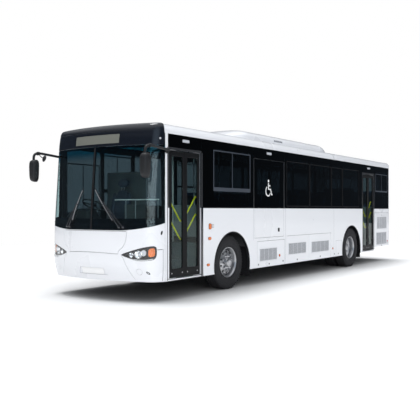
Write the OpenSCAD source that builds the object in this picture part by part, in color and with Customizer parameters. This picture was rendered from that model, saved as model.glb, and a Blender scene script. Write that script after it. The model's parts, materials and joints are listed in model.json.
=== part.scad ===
// City bus, 12 m class, right-hand drive, two passenger doors on the kerb side.
// Axes: +X forwards, +Y to the kerb side, +Z up. Millimetres.
// The origin lies on the ground at the middle of the outline over the mirrors.

/* [Body] */
// Width of the body over its side walls
body_w = 2500; // [2480:5:2550]
// Height of the roof skin above the ground
roof_z = 3020; // [3000:5:3060]
// Height of the lower edge of the side walls
skirt_z = 345; // [330:5:360]
// Height of the line where the white panels meet the glass
belt_z = 1580; // [1560:5:1600]
// Height where the side wall ends and the roof edge starts to curve
cantrail_z = 2840; // [2830:5:2850]
// Front axle to the foremost point of the nose
nose_x = 2600; // [2560:5:2620]
// Front axle to the rear face
tail_x = 9200; // [9150:5:9300]
// Front axle to the foremost point of the mirrors
mirror_reach = 2790; // [2740:5:2830]

/* [Running gear] */
// Distance between the axles
wheelbase = 6050; // [6000:5:6060]
// Outer radius of the tyres
tyre_r = 525; // [515:1:527]
// Width of one tyre
tyre_w = 280; // [260:1:285]
// Middle of the front tyre from the centre line
front_wheel_y = 1030; // [1020:1:1035]
// Middle of the outer rear tyre from the centre line
rear_wheel_y = 1085; // [1075:1:1090]
// Spacing between the middles of twin tyres
twin_gap = 330; // [325:1:335]
// Radius of the wheel arches
arch_r = 635; // [625:1:645]

/* [Doors] */
// Front and rear edge of the front doorway, from the front axle
front_door_x = [2036, 1056];
// Front and rear edge of the rear doorway, from the front axle
rear_door_x = [-6825, -7775];
// Height of the top edge of the doorways
doorway_top = 2600; // [2590:5:2620]
// Height of the lower edge of the door leaves
leaf_bottom = 388; // [386:1:400]
// Thickness of a door leaf
leaf_t = 32; // [28:1:34]

/* [Inside] */
// Height of the saloon floor
floor_z = 950; // [945:5:960]
// Distance between two rows of seats
seat_pitch = 740; // [735:5:745]

/* [Hidden] */
$fn = 48;

half = body_w / 2;
wall_t = 50;
gap = 6;
slit = 0.5;
origin_x = (tail_x - mirror_reach) / 2;
rear_axle_x = -wheelbase;
mask_x = 2110;
rear_x = -tail_x + 150;
glass_t = 6;
glass_seat = 8;
window_z = [1640, 2700];
rail_y = 430;
rail_w = 80;
rail_z = [690, 910];
arch_z = 480;
axle_z = tyre_r;
lower_end_z = 455;

// Window openings as [front edge, rear edge], from the front axle
left_windows = [[650, -640], [-2260, -3400], [-3455, -4675], [-4730, -5385],
                [-5440, -6570], [-7890, -8930]];
right_windows = concat([[1010, 130]], [for (i = [0 : 5]) [70 - i * 1500, -1370 - i * 1500]]);
driver_window = [2010, 1080];
wheelchair_x = [-850, -2110];
wheelchair_z = [968, 2600];
// Flaps of the kerb side as [front edge, rear edge, top edge]
left_flaps = [[-953, -2149, 890], [-2262, -3400, 962], [-3412, -4664, 962]];
right_flaps = [[-953, -2800, 962], [-2812, -4664, 962]];
engine_flap = [-7815, -9000, 1462];
engine_door_y = 820;
engine_door_z = [640, 1500];
front_flap_y = 640;
front_flap_z = [805, 1192];

module at_axle() { translate([origin_x, 0, 0]) children(); }

// A box from its lowest to its highest corner
module block(low, high) { translate(low) cube(high - low); }

// A solid drawn in the X-Z plane, from y0 to y1
module side_extrude(y0, y1) {
  translate([0, y1, 0]) rotate([90, 0, 0]) linear_extrude(y1 - y0) children();
}

// A rectangle in the X-Z plane
module side_rect(x_pair, z_pair, grow = 0) {
  translate([min(x_pair) - grow, z_pair[0] - grow])
    square([abs(x_pair[0] - x_pair[1]) + 2 * grow, z_pair[1] - z_pair[0] + 2 * grow]);
}

// A rod between two points
module rod(a, b, r) {
  d = b - a;
  len = norm(d);
  translate(a)
    rotate([0, acos(d[2] / len), atan2(d[1], d[0])])
      cylinder(r = r, h = len);
}

// ---------------------------------------------------------------- front shell

// Half outline of the nose in plan: a flat front arc and a tight corner arc
front_r = 3600;
corner_r = 300;
corner_a = asin((half - corner_r) / (front_r - corner_r));

function arc_points(c, r, a0, a1, n) =
  [for (i = [0 : n]) let (a = a0 + (a1 - a0) * i / n) [c[0] + r * cos(a), c[1] + r * sin(a)]];

// Plan of the nose whose foremost point is at x, pulled in by inset
function nose_plan(x, inset) =
  let (
    front_c = [x - front_r, 0],
    side_c = [front_c[0] + (front_r - corner_r) * cos(corner_a), half - corner_r],
    left = concat(arc_points(front_c, front_r - inset, 0, corner_a, 8),
                  arc_points(side_c, corner_r - inset, corner_a + 6, 90, 12)),
    left_all = concat(left, [[mask_x - 80, half - inset]])
  )
  concat(left_all, [for (i = [len(left_all) - 1 : -1 : 1]) [left_all[i][0], -left_all[i][1]]]);

// Foremost point of the nose at each height, from the skirt to the roof
nose_profile = [[skirt_z, -90], [640, 0], [1340, -16], [2640, -115], [2950, -150], [roof_z, -260]];

module nose_layer(i, inset) {
  hull()
    for (k = [i, i + 1])
      translate([0, 0, nose_profile[k][0] - (k > i ? 1 : 0)])
        linear_extrude(1) polygon(nose_plan(nose_x + nose_profile[k][1], inset));
}

module nose_shell(layers, thickness) {
  difference() {
    for (i = layers) nose_layer(i, 0);
    for (i = layers) nose_layer(i, thickness);
    block([mask_x - 200, -half, 0], [mask_x, half, roof_z + 10]);
  }
}

// Region above the white panel, seen from the side
module screen_side(lift) {
  polygon([[mask_x - 10, 1330 + lift], [2440, 1212 + lift], [nose_x + 50, 1205 + lift],
           [nose_x + 50, 2636], [mask_x - 10, 2636]]);
}

module front_flap_region(grow) {
  block([mask_x + 200, -front_flap_y - grow, front_flap_z[0] - grow],
        [nose_x + 50, front_flap_y + grow, front_flap_z[1] + grow]);
}

module front_panel() {
  color("white") at_axle() difference() {
    nose_shell([0, 1], 45);
    side_extrude(-half - 10, half + 10) screen_side(0);
    front_flap_region(gap);
    for (s = [-1, 1]) lamp_recess(s);
  }
}

module front_flap() {
  color("white") at_axle() intersection() {
    nose_shell([1], 40);
    front_flap_region(0);
  }
}

module windscreen() {
  color("darkslategray") at_axle() intersection() {
    difference() {
      nose_layer_glass(0);
      nose_layer_glass(8);
      block([mask_x - 200, -half, 0], [mask_x + 4, half, roof_z]);
    }
    side_extrude(-half - 10, half + 10) screen_side(4);
  }
}

module nose_layer_glass(inset) {
  hull()
    for (k = [0, 1])
      translate([0, 0, k == 0 ? 1200 : 2639])
        linear_extrude(1) polygon(nose_plan(nose_x + (k == 0 ? -5 : -115), inset));
}

module front_cap() {
  color("black") at_axle() difference() {
    for (i = [3, 4]) nose_layer(i, 0);
    translate([0, 0, -40]) for (i = [3, 4]) nose_layer(i, 40);
    block([mask_x - 300, -half, 0], [mask_x, half, roof_z + 10]);
  }
}

// Headlamp: an almond outline that is wide at the corner
module lamp_outline(grow) {
  polygon([[660 - grow * 2, 800], [1000, 905 + grow], [1250, 960 + grow], [1250, 705 - grow],
           [980, 700 - grow], [760, 765 - grow]]);
}

module lamp_recess(s) {
  translate([mask_x + 120, 0, 0]) mirror([0, s < 0 ? 1 : 0, 0])
    rotate([90, 0, 90]) linear_extrude(600) lamp_outline(3);
}

module headlamps() {
  color("lightgray") at_axle()
    for (s = [-1, 1])
      intersection() {
        difference() {
          nose_layer(1, 2);
          nose_layer(1, 60);
        }
        translate([mask_x + 124, 0, 0]) mirror([0, s < 0 ? 1 : 0, 0])
          rotate([90, 0, 90]) linear_extrude(600) lamp_outline(0);
      }
}

// ---------------------------------------------------------------- side walls

module wheel_arch(x) {
  translate([x, arch_z]) circle(r = arch_r, $fn = 96);
}

// Outline of a side wall, whose lower edge climbs towards the tail
module wall_side() {
  polygon([[mask_x - 1, skirt_z], [mask_x - 1, cantrail_z - slit], [rear_x, cantrail_z - slit],
           [rear_x, lower_end_z], [rear_door_x[1], skirt_z + 45], [rear_door_x[1], skirt_z]]);
}

module flap_opening(flap) {
  side_rect([flap[0], flap[1]], [0, flap[2]], gap);
}

module left_wall_cuts() {
  for (w = left_windows) side_rect(w, window_z);
  for (f = left_flaps) flap_opening(f);
  flap_opening(engine_flap);
  for (d = [front_door_x, rear_door_x]) side_rect(d, [0, doorway_top]);
  side_rect(wheelchair_x, wheelchair_z, gap);
  for (x = [0, rear_axle_x]) wheel_arch(x);
}

module right_wall_cuts() {
  for (w = right_windows) side_rect(w, window_z);
  side_rect(driver_window, [1420, window_z[1]]);
  for (f = right_flaps) flap_opening(f);
  for (x = [0, rear_axle_x]) wheel_arch(x);
}

// The upper part of the wall is set back so that the glass lies flush
module left_side_wall() {
  color("white") at_axle() difference() {
    side_extrude(half - wall_t, half) difference() {
      wall_side();
      left_wall_cuts();
    }
    side_extrude(half - glass_seat, half + 1) {
      side_rect([front_door_x[1], rear_x - 1], [belt_z, cantrail_z]);
      side_rect([front_door_x[0], rear_x], [doorway_top, cantrail_z]);
    }
  }
  color("white") at_axle() door_lips();
}

module right_side_wall() {
  color("white") at_axle() difference() {
    side_extrude(-half, -half + wall_t) difference() {
      wall_side();
      right_wall_cuts();
    }
    side_extrude(-half - 1, -half + glass_seat)
      side_rect([driver_window[1] - 30, rear_x - 1], [belt_z, cantrail_z]);
    side_extrude(-half - 1, -half + glass_seat)
      side_rect([driver_window[0] + 30, driver_window[1] - 30], [1390, cantrail_z]);
  }
}

// Cover strips on the jambs, in front of the door posts
module door_lips() {
  for (d = [front_door_x, rear_door_x]) {
    block([d[0] - post_inset - 15, half - 9, leaf_bottom], [d[0] + 1, half, doorway_top]);
    block([d[1] - 1, half - 9, leaf_bottom], [d[1] + post_inset + 15, half, doorway_top]);
  }
}

// Panes of one side, each from just behind the pane ahead of it
module pane_row(edges, z_pair) {
  for (i = [0 : len(edges) - 2])
    side_rect([edges[i] - gap, edges[i + 1]], z_pair);
}

left_pane_edges = [[1056, -790], [-2170, -3427, -4701, -5407, -6597, -6819], [-7776, rear_x]];
right_pane_edges = concat([driver_window[1] - 34, 100],
                          [for (i = [1 : 5]) 100 - i * 1500], [rear_x]);

module windows() {
  pane_z = [belt_z + 4, cantrail_z - 4];
  color("black") at_axle() {
    side_extrude(half - glass_t, half)
      for (run = left_pane_edges) pane_row(run, pane_z);
    side_extrude(half - glass_t, half)
      for (d = [front_door_x, rear_door_x, [wheelchair_x[0] + 54, wheelchair_x[1] - 54]])
        side_rect([d[0] - gap, d[1] + gap], [doorway_top + 14, pane_z[1]]);
    side_extrude(-half, -half + glass_t) {
      pane_row(right_pane_edges, pane_z);
      side_rect([driver_window[0] + 26, driver_window[1] - 30], [1394, pane_z[1]]);
    }
    block([-tail_x + 0.2, -rear_glass_y, rear_glass_z[0]],
          [-tail_x + 6, rear_glass_y, rear_glass_z[1]]);
  }
}

// ---------------------------------------------------------------- roof and tail

roof_r = roof_z - cantrail_z;
roof_t = 45;

module roof_section(inset) {
  intersection() {
    union() {
      translate([-(half - roof_r), cantrail_z]) square([2 * (half - roof_r), roof_r - inset]);
      for (s = [-1, 1]) translate([s * (half - roof_r), cantrail_z]) circle(r = roof_r - inset);
    }
    translate([-half, cantrail_z]) square([body_w, roof_r]);
  }
}

module roof() {
  color("white") at_axle() difference() {
    intersection() {
      along_x(-tail_x, mask_x - 2) roof_section(0);
      translate([0, 0, cantrail_z - 10]) linear_extrude(roof_r + 20) roof_plan();
    }
    along_x(-tail_x + wall_t, mask_x) translate([0, -1]) roof_section(roof_t);
  }
}

// A solid drawn in the Y-Z plane, from x0 to x1
module along_x(x0, x1) {
  translate([x0, 0, 0]) rotate([90, 0, 90]) linear_extrude(x1 - x0) children();
}

module roof_plan() {
  tail_plan(0);
  translate([rear_x - 1, -half]) square([mask_x - rear_x + 1, body_w]);
}

// Plan of the tail with its rounded corners
tail_r = 130;
rear_glass_y = 980;
rear_glass_z = [1740, 2640];

module tail_plan(inset) {
  translate([-tail_x + inset, -(half - tail_r)]) square([tail_x + rear_x - inset, 2 * (half - tail_r)]);
  translate([-tail_x + tail_r, -(half - inset)])
    square([tail_x + rear_x - tail_r, 2 * (half - inset)]);
  for (s = [-1, 1]) translate([-tail_x + tail_r, s * (half - tail_r)]) circle(r = tail_r - inset);
}

module rear_wall() {
  color("white") at_axle() difference() {
    translate([0, 0, lower_end_z]) linear_extrude(cantrail_z - slit - lower_end_z) difference() {
      tail_plan(0);
      tail_plan(wall_t);
      translate([rear_x - slit, -half]) square([200, body_w]);
    }
    block([-tail_x - 1, -rear_glass_y + 60, rear_glass_z[0] + 60],
          [-tail_x + 100, rear_glass_y - 60, rear_glass_z[1] - 60]);
    block([-tail_x - 1, -rear_glass_y - 4, rear_glass_z[0] - 4],
          [-tail_x + glass_seat, rear_glass_y + 4, rear_glass_z[1] + 4]);
    block([-tail_x - 1, -engine_door_y - gap, engine_door_z[0] - gap],
          [-tail_x + 100, engine_door_y + gap, engine_door_z[1] + gap]);
    for (s = [-1, 1]) {
      block([-tail_x - 1, s * 1010 - 75, 980], [-tail_x + 30, s * 1010 + 75, 1420]);
      translate([-tail_x - 1, s * plate_hole_y, plate_z]) rotate([0, 90, 0])
        cylinder(r = 4, h = wall_t + 2);
    }
  }
}

module engine_door() {
  color("white") at_axle()
    block([-tail_x, -engine_door_y, engine_door_z[0]],
          [-tail_x + wall_t, engine_door_y, engine_door_z[1]]);
}

module tail_lamps() {
  color("red") at_axle()
    for (s = [-1, 1])
      block([-tail_x + 1, s * 1010 - 72, 983], [-tail_x + 28, s * 1010 + 72, 1417]);
}

ac_x = [-500, -5500];
ac_top = 3270;

module ac_unit() {
  lid = [[0, 0], [0, 60], [420, ac_top - roof_z - 20], [700, ac_top - roof_z]];
  len = ac_x[0] - ac_x[1];
  color("white") at_axle() translate([ac_x[1], 0, roof_z + slit])
    intersection() {
      side_extrude(-900, 900)
        polygon(concat(lid, [for (i = [len(lid) - 1 : -1 : 0]) [len - lid[i][0], lid[i][1]]]));
      rotate([90, 0, 90]) linear_extrude(len)
        polygon([[-900, 0], [-900, 90], [-760, 215], [-560, ac_top - roof_z], [560, ac_top - roof_z],
                 [760, 215], [900, 90], [900, 0]]);
    }
}

// ---------------------------------------------------------------- outside fittings

mirror_y = 1320;
mirror_z = 2260;
mirror_root_x = 2073;

mirror_tube_r = 22;
mirror_deep = 130;
mirror_bends = [[mirror_root_x - 8, half + 26, 2545], [2560, 1330, 2590], [2712, 1325, 2540],
                [2720, 1320, 2430]];

module mirrors() {
  color("black") at_axle()
    for (s = [-1, 1]) {
      on_side(s) translate([mirror_root_x, half + 0.3, 2545]) rotate([-90, 0, 0])
        cylinder(r = 42, h = 14);
      on_side(s) {
        translate([mirror_root_x, half + 10, 2545]) rotate([-90, 0, 0]) cylinder(r = 27, h = 19);
        for (i = [0 : len(mirror_bends) - 2])
          rod(mirror_bends[i], mirror_bends[i + 1], mirror_tube_r - i);
        translate([mirror_reach - mirror_deep, mirror_y, mirror_z]) rotate([90, 0, 90])
          linear_extrude(mirror_deep) mirror_outline();
      }
    }
}

// Outline of a mirror head: two half rounds with straight sides between them
module mirror_outline() {
  translate([-90, -115]) square([180, 230]);
  for (z = [-115, 115]) translate([0, z]) circle(r = 90);
}

wiper_z = 1262;

// Where the glass lies at the inner edge of a wiper's spindle
function nose_front_at(y) = nose_x - 4 - front_r + sqrt(pow(front_r, 2) - pow(abs(y) - 22, 2));

// Wipers as [pivot from the centre line, tip from the centre line]
wiper_arms = [[620, 50], [-550, -220]];
wiper_tip_z = 1930;

module wipers() {
  color("black") at_axle()
    for (w = wiper_arms) {
      translate([nose_front_at(w[0]), w[0], wiper_z]) rotate([0, 90, 0]) cylinder(r = 22, h = 66);
      rod([nose_x + 10, w[0], wiper_z], [nose_x - 14, (w[0] + w[1] * 2) / 3, 1710], 9);
      rod([nose_x - 8, w[0] * 0.72 + w[1] * 0.28, 1330], [nose_x - 26, w[1], wiper_tip_z], 10);
    }
}

// ---------------------------------------------------------------- frame and floor

plate_z = 560;
plate_hole_y = 150;

rail_x = [-8950, 2250];
beam_half = [1050, 1180];
front_beam = [2150, 2290];
rear_beam = [-9080, -8990];
cross_x = [2040, 1150, -900, -2100, -3400, -4700, -7050, -7750, -8870];

module frame_rails() {
  color("dimgray") at_axle()
    for (s = [-1, 1])
      block([rail_x[0], s * rail_y - rail_w / 2, rail_z[0]], [rail_x[1], s * rail_y + rail_w / 2, rail_z[1]]);
}

module frame_crossmembers() {
  inner = rail_y - rail_w / 2;
  color("dimgray") at_axle()
    for (x = cross_x) block([x, -inner, rail_z[0] + 50], [x + 80, inner, rail_z[1] - 40]);
}

// Beams behind the bumpers, each on two brackets from the rails
module bumper_beams() {
  color("dimgray") at_axle() {
    block([front_beam[0], -beam_half[0], 470], [front_beam[1], beam_half[0], 590]);
    block([front_beam[0] + 20, -rail_y - 40, 580], [rail_x[1], rail_y + 40, rail_z[0]]);
    block([rear_beam[0], -beam_half[1], 500], [rear_beam[1], beam_half[1], 600]);
    block([rear_beam[1] - 10, -rail_y - 40, 500], [rail_x[0] + 50, rail_y + 40, rail_z[0]]);
  }
}

tread_1_y = 800;
tread_2_y = 560;
floor_t = 35;

module step_well(d, tread_z) {
  x0 = d[1] - 20;
  x1 = d[0] + 20;
  mid_z = (tread_z + floor_z) / 2;
  block([x0, tread_1_y - 20, tread_z - 20], [x1, half - wall_t, tread_z]);
  block([x0, tread_1_y - 20, tread_z], [x1, tread_1_y, mid_z]);
  block([x0, tread_2_y - 20, mid_z - 20], [x1, tread_1_y - 20, mid_z]);
  block([x0, tread_2_y - 20, mid_z], [x1, tread_2_y, floor_z - floor_t]);
  for (x = [x0, x1 - 15]) {
    block([x, tread_1_y, tread_z], [x + 15, half - wall_t, floor_z - floor_t]);
    block([x, tread_2_y, mid_z], [x + 15, tread_1_y, floor_z - floor_t]);
  }
}

engine_cover_z = 1520;
engine_cover_x = -8350;
platform_z = 1150;
platform_x = -7870;

module floor() {
  inner = half - wall_t - slit;
  color("slategray") at_axle() {
    difference() {
      block([platform_x, -inner, floor_z - floor_t], [2090, inner, floor_z]);
      for (d = [front_door_x, rear_door_x])
        block([d[1] - 5, tread_2_y, 0], [d[0] + 5, half, floor_z + 1]);
      for (x = [0, rear_axle_x]) for (s = [-1, 1])
        block([x - house_len, s * house_mid - house_half, 0],
              [x + house_len, s * house_mid + house_half, floor_z + 1]);
    }
    block([platform_x, -inner, floor_z], [platform_x + 15, inner, platform_z - 30]);
    block([engine_cover_x - 20, -inner, platform_z - 30], [platform_x + 15, inner, platform_z]);
    block([engine_cover_x - 20, -inner, platform_z], [engine_cover_x, inner, engine_cover_z - 30]);
    block([tail_r - tail_x, -inner, engine_cover_z - 30], [engine_cover_x, inner, engine_cover_z]);
    block([wall_t + 5 - tail_x, tail_r - half, engine_cover_z - 30],
          [tail_r - tail_x, half - tail_r, engine_cover_z]);
    step_well(front_door_x, 350);
    step_well(rear_door_x, 375);
  }
}

house_len = 690;
house_inner_y = 505;
house_mid = (house_inner_y + half - wall_t) / 2;
house_half = (half - wall_t - house_inner_y) / 2;
house_top = 1150;
sheet = 14;
bay_y = 620;
bay_z = 372;

// Sheet box over a wheel, open below and towards the outside
module wheel_house(x, s) {
  mirror([0, s < 0 ? 1 : 0, 0]) difference() {
    block([x - house_len + 1, house_inner_y + 1, 620], [x + house_len - 1, half - wall_t - slit, house_top]);
    block([x - house_len + 1 + sheet, house_inner_y + 1 + sheet, 0],
          [x + house_len - 1 - sheet, half, house_top - sheet]);
  }
}

// Compartment behind the flaps, open towards the outside
module bay(x_pair, s) {
  mirror([0, s < 0 ? 1 : 0, 0]) difference() {
    block([x_pair[1], bay_y, bay_z], [x_pair[0], half - wall_t - gap, floor_z - floor_t - slit]);
    block([x_pair[1] + sheet, bay_y + sheet, bay_z + sheet],
          [x_pair[0] - sheet, half, floor_z - floor_t - slit - sheet]);
  }
}

module underfloor_bays() {
  color("gray") at_axle() {
    for (x = [0, rear_axle_x]) for (s = [-1, 1]) wheel_house(x, s);
    for (f = left_flaps) bay(f, 1);
    for (f = right_flaps) bay(f, -1);
  }
}

// Engine and gearbox as one block between the frame rails
module engine() {
  color("darkslategray") at_axle() block([-8780, -375, 480], [-7920, 375, 1110]);
}

// ---------------------------------------------------------------- inside

seat_w = 430;

module seat_back() {
  rotate([0, -8, 0]) block([-40, 3 - seat_w / 2, 0], [0, seat_w / 2 - 3, 570]);
}

// A moulded seat on a foot, its cushion's front edge towards +X
module seat(x, y, z) {
  translate([x, y, z]) {
    block([-55, -seat_w / 2, 400], [400, seat_w / 2, 450]);
    translate([-30, 0, 440]) seat_back();
    block([120, 60 - seat_w / 2, 0], [170, seat_w / 2 - 60, 401]);
  }
}

module seat_pair(x, s, z) {
  for (k = [0, 1]) seat(x, s * (half - wall_t - 45 - seat_w / 2 - k * (seat_w + 15)), z);
}

left_rows = [for (i = [0 : 3]) -2950 - i * seat_pitch];
right_rows = [for (i = [0 : 5]) -1450 - i * seat_pitch];

module passenger_seats() {
  color("royalblue") at_axle() {
    for (x = left_rows) seat_pair(x, 1, floor_z + slit);
    for (x = right_rows) seat_pair(x, -1, floor_z + slit);
    for (s = [-1, 1]) seat_pair(rear_axle_x - 250, s, house_top + slit);
    seat_pair(-7200, -1, floor_z + slit);
    for (k = [-2 : 2]) translate([-8760, k * (seat_w + 15), engine_cover_z + slit]) {
      block([-55, -seat_w / 2, 0], [380, seat_w / 2, 60]);
      translate([-30, 0, 50]) seat_back();
    }
  }
}

driver_y = -640;

module driver_seat() {
  color("dimgray") at_axle() translate([1180, driver_y, floor_z + slit]) {
    block([60, -150, 0], [360, 150, 301]);
    block([-40, -240, 300], [430, 240, 410]);
    translate([20, 0, 395]) rotate([0, -10, 0]) block([-90, -235, 0], [0, 235, 640]);
    translate([-85, 0, 1015]) rotate([0, -10, 0]) block([-80, -130, 0], [-8, 130, 200]);
  }
}

hump_z = 1580;
steer_tilt = 28;
steer_c = [1870, driver_y, 1640];
steer_axis = [-sin(steer_tilt), 0, cos(steer_tilt)];

module dashboard() {
  color("dimgray") at_axle() {
    intersection() {
      union() {
        side_extrude(-half + wall_t + 20, half - wall_t - 260)
          polygon([[2095, floor_z + slit], [2600, floor_z + slit], [2600, 1190], [2400, 1250],
                   [2060, 1250], [2050, 1180], [2095, 1100]]);
        side_extrude(driver_y - 330, driver_y + 330)
          polygon([[1960, 1250], [2330, 1250], [2290, 1500], [2060, hump_z], [1960, 1500]]);
      }
      union() {
        nose_layer(1, 75);
        block([1900, -half, floor_z], [2200, half, hump_z]);
        translate([0, 0, 690]) nose_layer(1, 160);
      }
    }
    rod(steer_c - 330 * steer_axis, steer_c - 98 * steer_axis, 24);
  }
}

// The wheel lies on a column that leans back from the vertical
module steering_wheel() {
  color("black") at_axle() translate(steer_c) rotate([0, -steer_tilt, 0]) {
    rotate_extrude() translate([215, 0]) circle(r = 14);
    cylinder(r = 55, h = 24, center = true);
    for (a = [0, 120, 240]) rotate([0, 0, a]) block([30, -18, -8], [212, 18, 6]);
    translate([0, 0, -92]) cylinder(r = 20, h = 90);
  }
}

module driver_partition() {
  color("lightgray") at_axle() {
    block([920, -half + wall_t + 5, floor_z + slit], [950, -180, 1700]);
    block([920, -half + wall_t + 5, 1701], [926, -180, 2300]);
    block([950 + slit, -210, floor_z + slit], [1500, -180, 1650]);
  }
}

pole_r = 16;

module grab_rails() {
  color("gold") at_axle() {
    for (x = [-900, -2400, -3880, -5560, -6700]) for (s = [-1, 1])
      translate([x, s * 330, floor_z + slit]) cylinder(r = pole_r, h = 2840 - floor_z - 10);
    for (s = [-1, 1]) {
      rod([-8200, s * 330, 2780], [700, s * 330, 2780], pole_r);
      for (x = [700, -8200]) translate([x, s * 330, 2780]) cylinder(r = pole_r, h = 190);
    }
    for (x = [960, -6780, -7820]) {
      translate([x, 520, floor_z + slit]) cylinder(r = pole_r, h = 2960 - floor_z);
      block([x - 12, 540, 1050], [x + 12, 1180, 1640]);
      rod([x, 500, 1500], [x, 545, 1500], 10);
    }
  }
}

// ---------------------------------------------------------------- running gear

kingpin_y = 880;
kingpin_r = 25;
spindle_r = 45;
fit = 0.06;
rim_r = 286;
flange_r = 298;
rim_half = 112;
track_rod_x = -190;
bellows_r = 72;
hub_end = 35;

module front_axle() {
  color("dimgray") at_axle() {
    difference() {
      union() {
        block([-45, -740, 400], [45, 740, 490]);
        for (s = [-1, 1]) {
          block([-45, s * 740 - 40, 400], [45, s * 740 + 40, 572]);
          block([-45, s * 800 - 60, 478], [45, s * 800 + 60, 572]);
          translate([0, s * kingpin_y, 475]) cylinder(r = 52, h = 100);
          translate([0, s * rail_y, 490]) cylinder(r = bellows_r, h = rail_z[0] - 490 - slit);
        }
      }
      for (s = [-1, 1]) translate([0, s * kingpin_y, 300]) cylinder(r = kingpin_r + fit, h = 400);
    }
  }
}

// Steering knuckle with its kingpin, stub axle and track arm
module knuckle(s) {
  mirror([0, s < 0 ? 1 : 0, 0]) {
    translate([0, kingpin_y, 425]) cylinder(r = kingpin_r, h = 200);
    for (z = [430, 580]) translate([0, kingpin_y, z]) cylinder(r = 50, h = 40);
    for (z = [430, 580]) block([-45, kingpin_y, z], [45, kingpin_y + 85, z + 40]);
    block([-50, kingpin_y + 57, 430], [50, kingpin_y + 90, 620]);
    translate([0, kingpin_y + 60, axle_z]) rotate([-90, 0, 0]) cylinder(r = spindle_r, h = 150);
    rod([-30, kingpin_y, 450], [track_rod_x, kingpin_y, 445], 17);
    translate([track_rod_x, kingpin_y, 400]) cylinder(r = 12, h = 60);
  }
}

module left_knuckle() { color("gray") at_axle() knuckle(1); }
module right_knuckle() { color("gray") at_axle() knuckle(-1); }

module track_rod() {
  color("gray") at_axle() difference() {
    union() {
      rod([track_rod_x, -kingpin_y, 412], [track_rod_x, kingpin_y, 412], 15);
      for (s = [-1, 1]) translate([track_rod_x, s * kingpin_y, 396]) cylinder(r = 26, h = 31);
    }
    for (s = [-1, 1]) translate([track_rod_x, s * kingpin_y, 390]) cylinder(r = 12 + fit, h = 60);
  }
}

module rear_axle() {
  color("dimgray") at_axle() translate([rear_axle_x, 0, 0]) {
    translate([0, 590, axle_z]) rotate([90, 0, 0]) cylinder(r = 70, h = 1180);
    translate([-110, 0, axle_z]) rotate([0, 90, 0]) cylinder(r = 165, h = 220);
    for (s = [-1, 1]) {
      mirror([0, s < 0 ? 1 : 0, 0]) translate([0, 589, axle_z]) rotate([-90, 0, 0])
        cylinder(r = spindle_r, h = rear_wheel_y + hub_end - 6 - 589);
      for (x = [-330, 330]) {
        translate([x, s * rail_y, 480]) cylinder(r = bellows_r, h = rail_z[0] - 480 - slit);
      }
      block([-400, s * rail_y - 40, 400], [400, s * rail_y + 40, 480]);
    }
  }
}

// Tyre about the Y axis, in the middle of its tread
module tyre() {
  w = tyre_w / 2;
  rotate([90, 0, 0]) rotate_extrude($fn = 96) polygon([
    [rim_r + slit, -rim_half + 11], [flange_r + 2, -rim_half + 5], [flange_r + 6, -rim_half - 5],
    [rim_r + 90, -w], [rim_r + 150, -w],
    [tyre_r - 40, -w + 12], [tyre_r - 12, -w + 32], [tyre_r, -w + 48], [tyre_r, w - 48],
    [tyre_r - 12, w - 32], [tyre_r - 40, w - 12], [rim_r + 150, w], [rim_r + 90, w],
    [flange_r + 6, rim_half + 5], [flange_r + 2, rim_half - 5], [rim_r + slit, rim_half - 11]]);
}

// Rim barrel with flanges about the Y axis; the disc lies at disc_y
module rim_barrel() {
  rotate([90, 0, 0]) rotate_extrude($fn = 96) polygon([
    [262, -rim_half], [flange_r, -rim_half - 5], [flange_r, -rim_half + 2], [rim_r, -rim_half + 8],
    [rim_r, rim_half - 8], [flange_r, rim_half - 2], [flange_r, rim_half + 5], [262, rim_half]]);
}

module rim_disc(y) {
  difference() {
    translate([0, y, 0]) rotate([-90, 0, 0]) cylinder(r = 264, h = 14);
    for (a = [0 : 36 : 324]) rotate([0, a, 0]) translate([0, y - 1, 205])
      rotate([-90, 0, 0]) cylinder(r = 27, h = 16);
    translate([0, y - 1, 0]) rotate([-90, 0, 0]) cylinder(r = 60, h = 16);
  }
}

module nut_ring(y, h) {
  for (a = [18 : 36 : 342]) rotate([0, a, 0]) translate([0, y, 150])
    rotate([-90, 0, 0]) cylinder(r = 15, h = h, $fn = 6);
}

// Front rim with hub, turning on the stub axle; outside is +Y
module front_rim() {
  difference() {
    union() {
      rim_barrel();
      rim_disc(70);
      translate([0, -55, 0]) rotate([-90, 0, 0]) cylinder(r = 75, h = 205);
      translate([0, -50, 0]) rotate([-90, 0, 0]) cylinder(r = 190, h = 122);
      nut_ring(83, 27);
    }
    translate([0, -60, 0]) rotate([-90, 0, 0]) cylinder(r = spindle_r + fit, h = 125);
  }
}

// Twin rims with their common hub; outside is +Y and y = 0 is the outer rim
module twin_rims() {
  difference() {
    union() {
      rim_barrel();
      translate([0, -twin_gap, 0]) rim_barrel();
      rim_disc(-90);
      translate([0, -twin_gap - 40, 0]) rotate([-90, 0, 0]) cylinder(r = 200, h = 295);
      translate([0, -twin_gap - 60, 0]) rotate([-90, 0, 0]) cylinder(r = 268, h = 14);
      translate([0, -twin_gap - 60, 0]) rotate([-90, 0, 0]) cylinder(r = 110, h = 440);
      nut_ring(-77, 27);
    }
    translate([0, -twin_gap - 70, 0]) rotate([-90, 0, 0])
      cylinder(r = spindle_r + fit, h = twin_gap + 70 + hub_end);
  }
}

module on_side(s) { mirror([0, s < 0 ? 1 : 0, 0]) children(); }

module left_front_rim() { color("silver") at_axle() translate([0, front_wheel_y, axle_z]) front_rim(); }
module right_front_rim() {
  color("silver") at_axle() on_side(-1) translate([0, front_wheel_y, axle_z]) front_rim();
}
module left_front_tyre() { color("black") at_axle() translate([0, front_wheel_y, axle_z]) tyre(); }
module right_front_tyre() { color("black") at_axle() translate([0, -front_wheel_y, axle_z]) tyre(); }

module twin_tyres(s) {
  for (k = [0, 1])
    translate([rear_axle_x, s * (rear_wheel_y - k * twin_gap), axle_z]) tyre();
}

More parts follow.
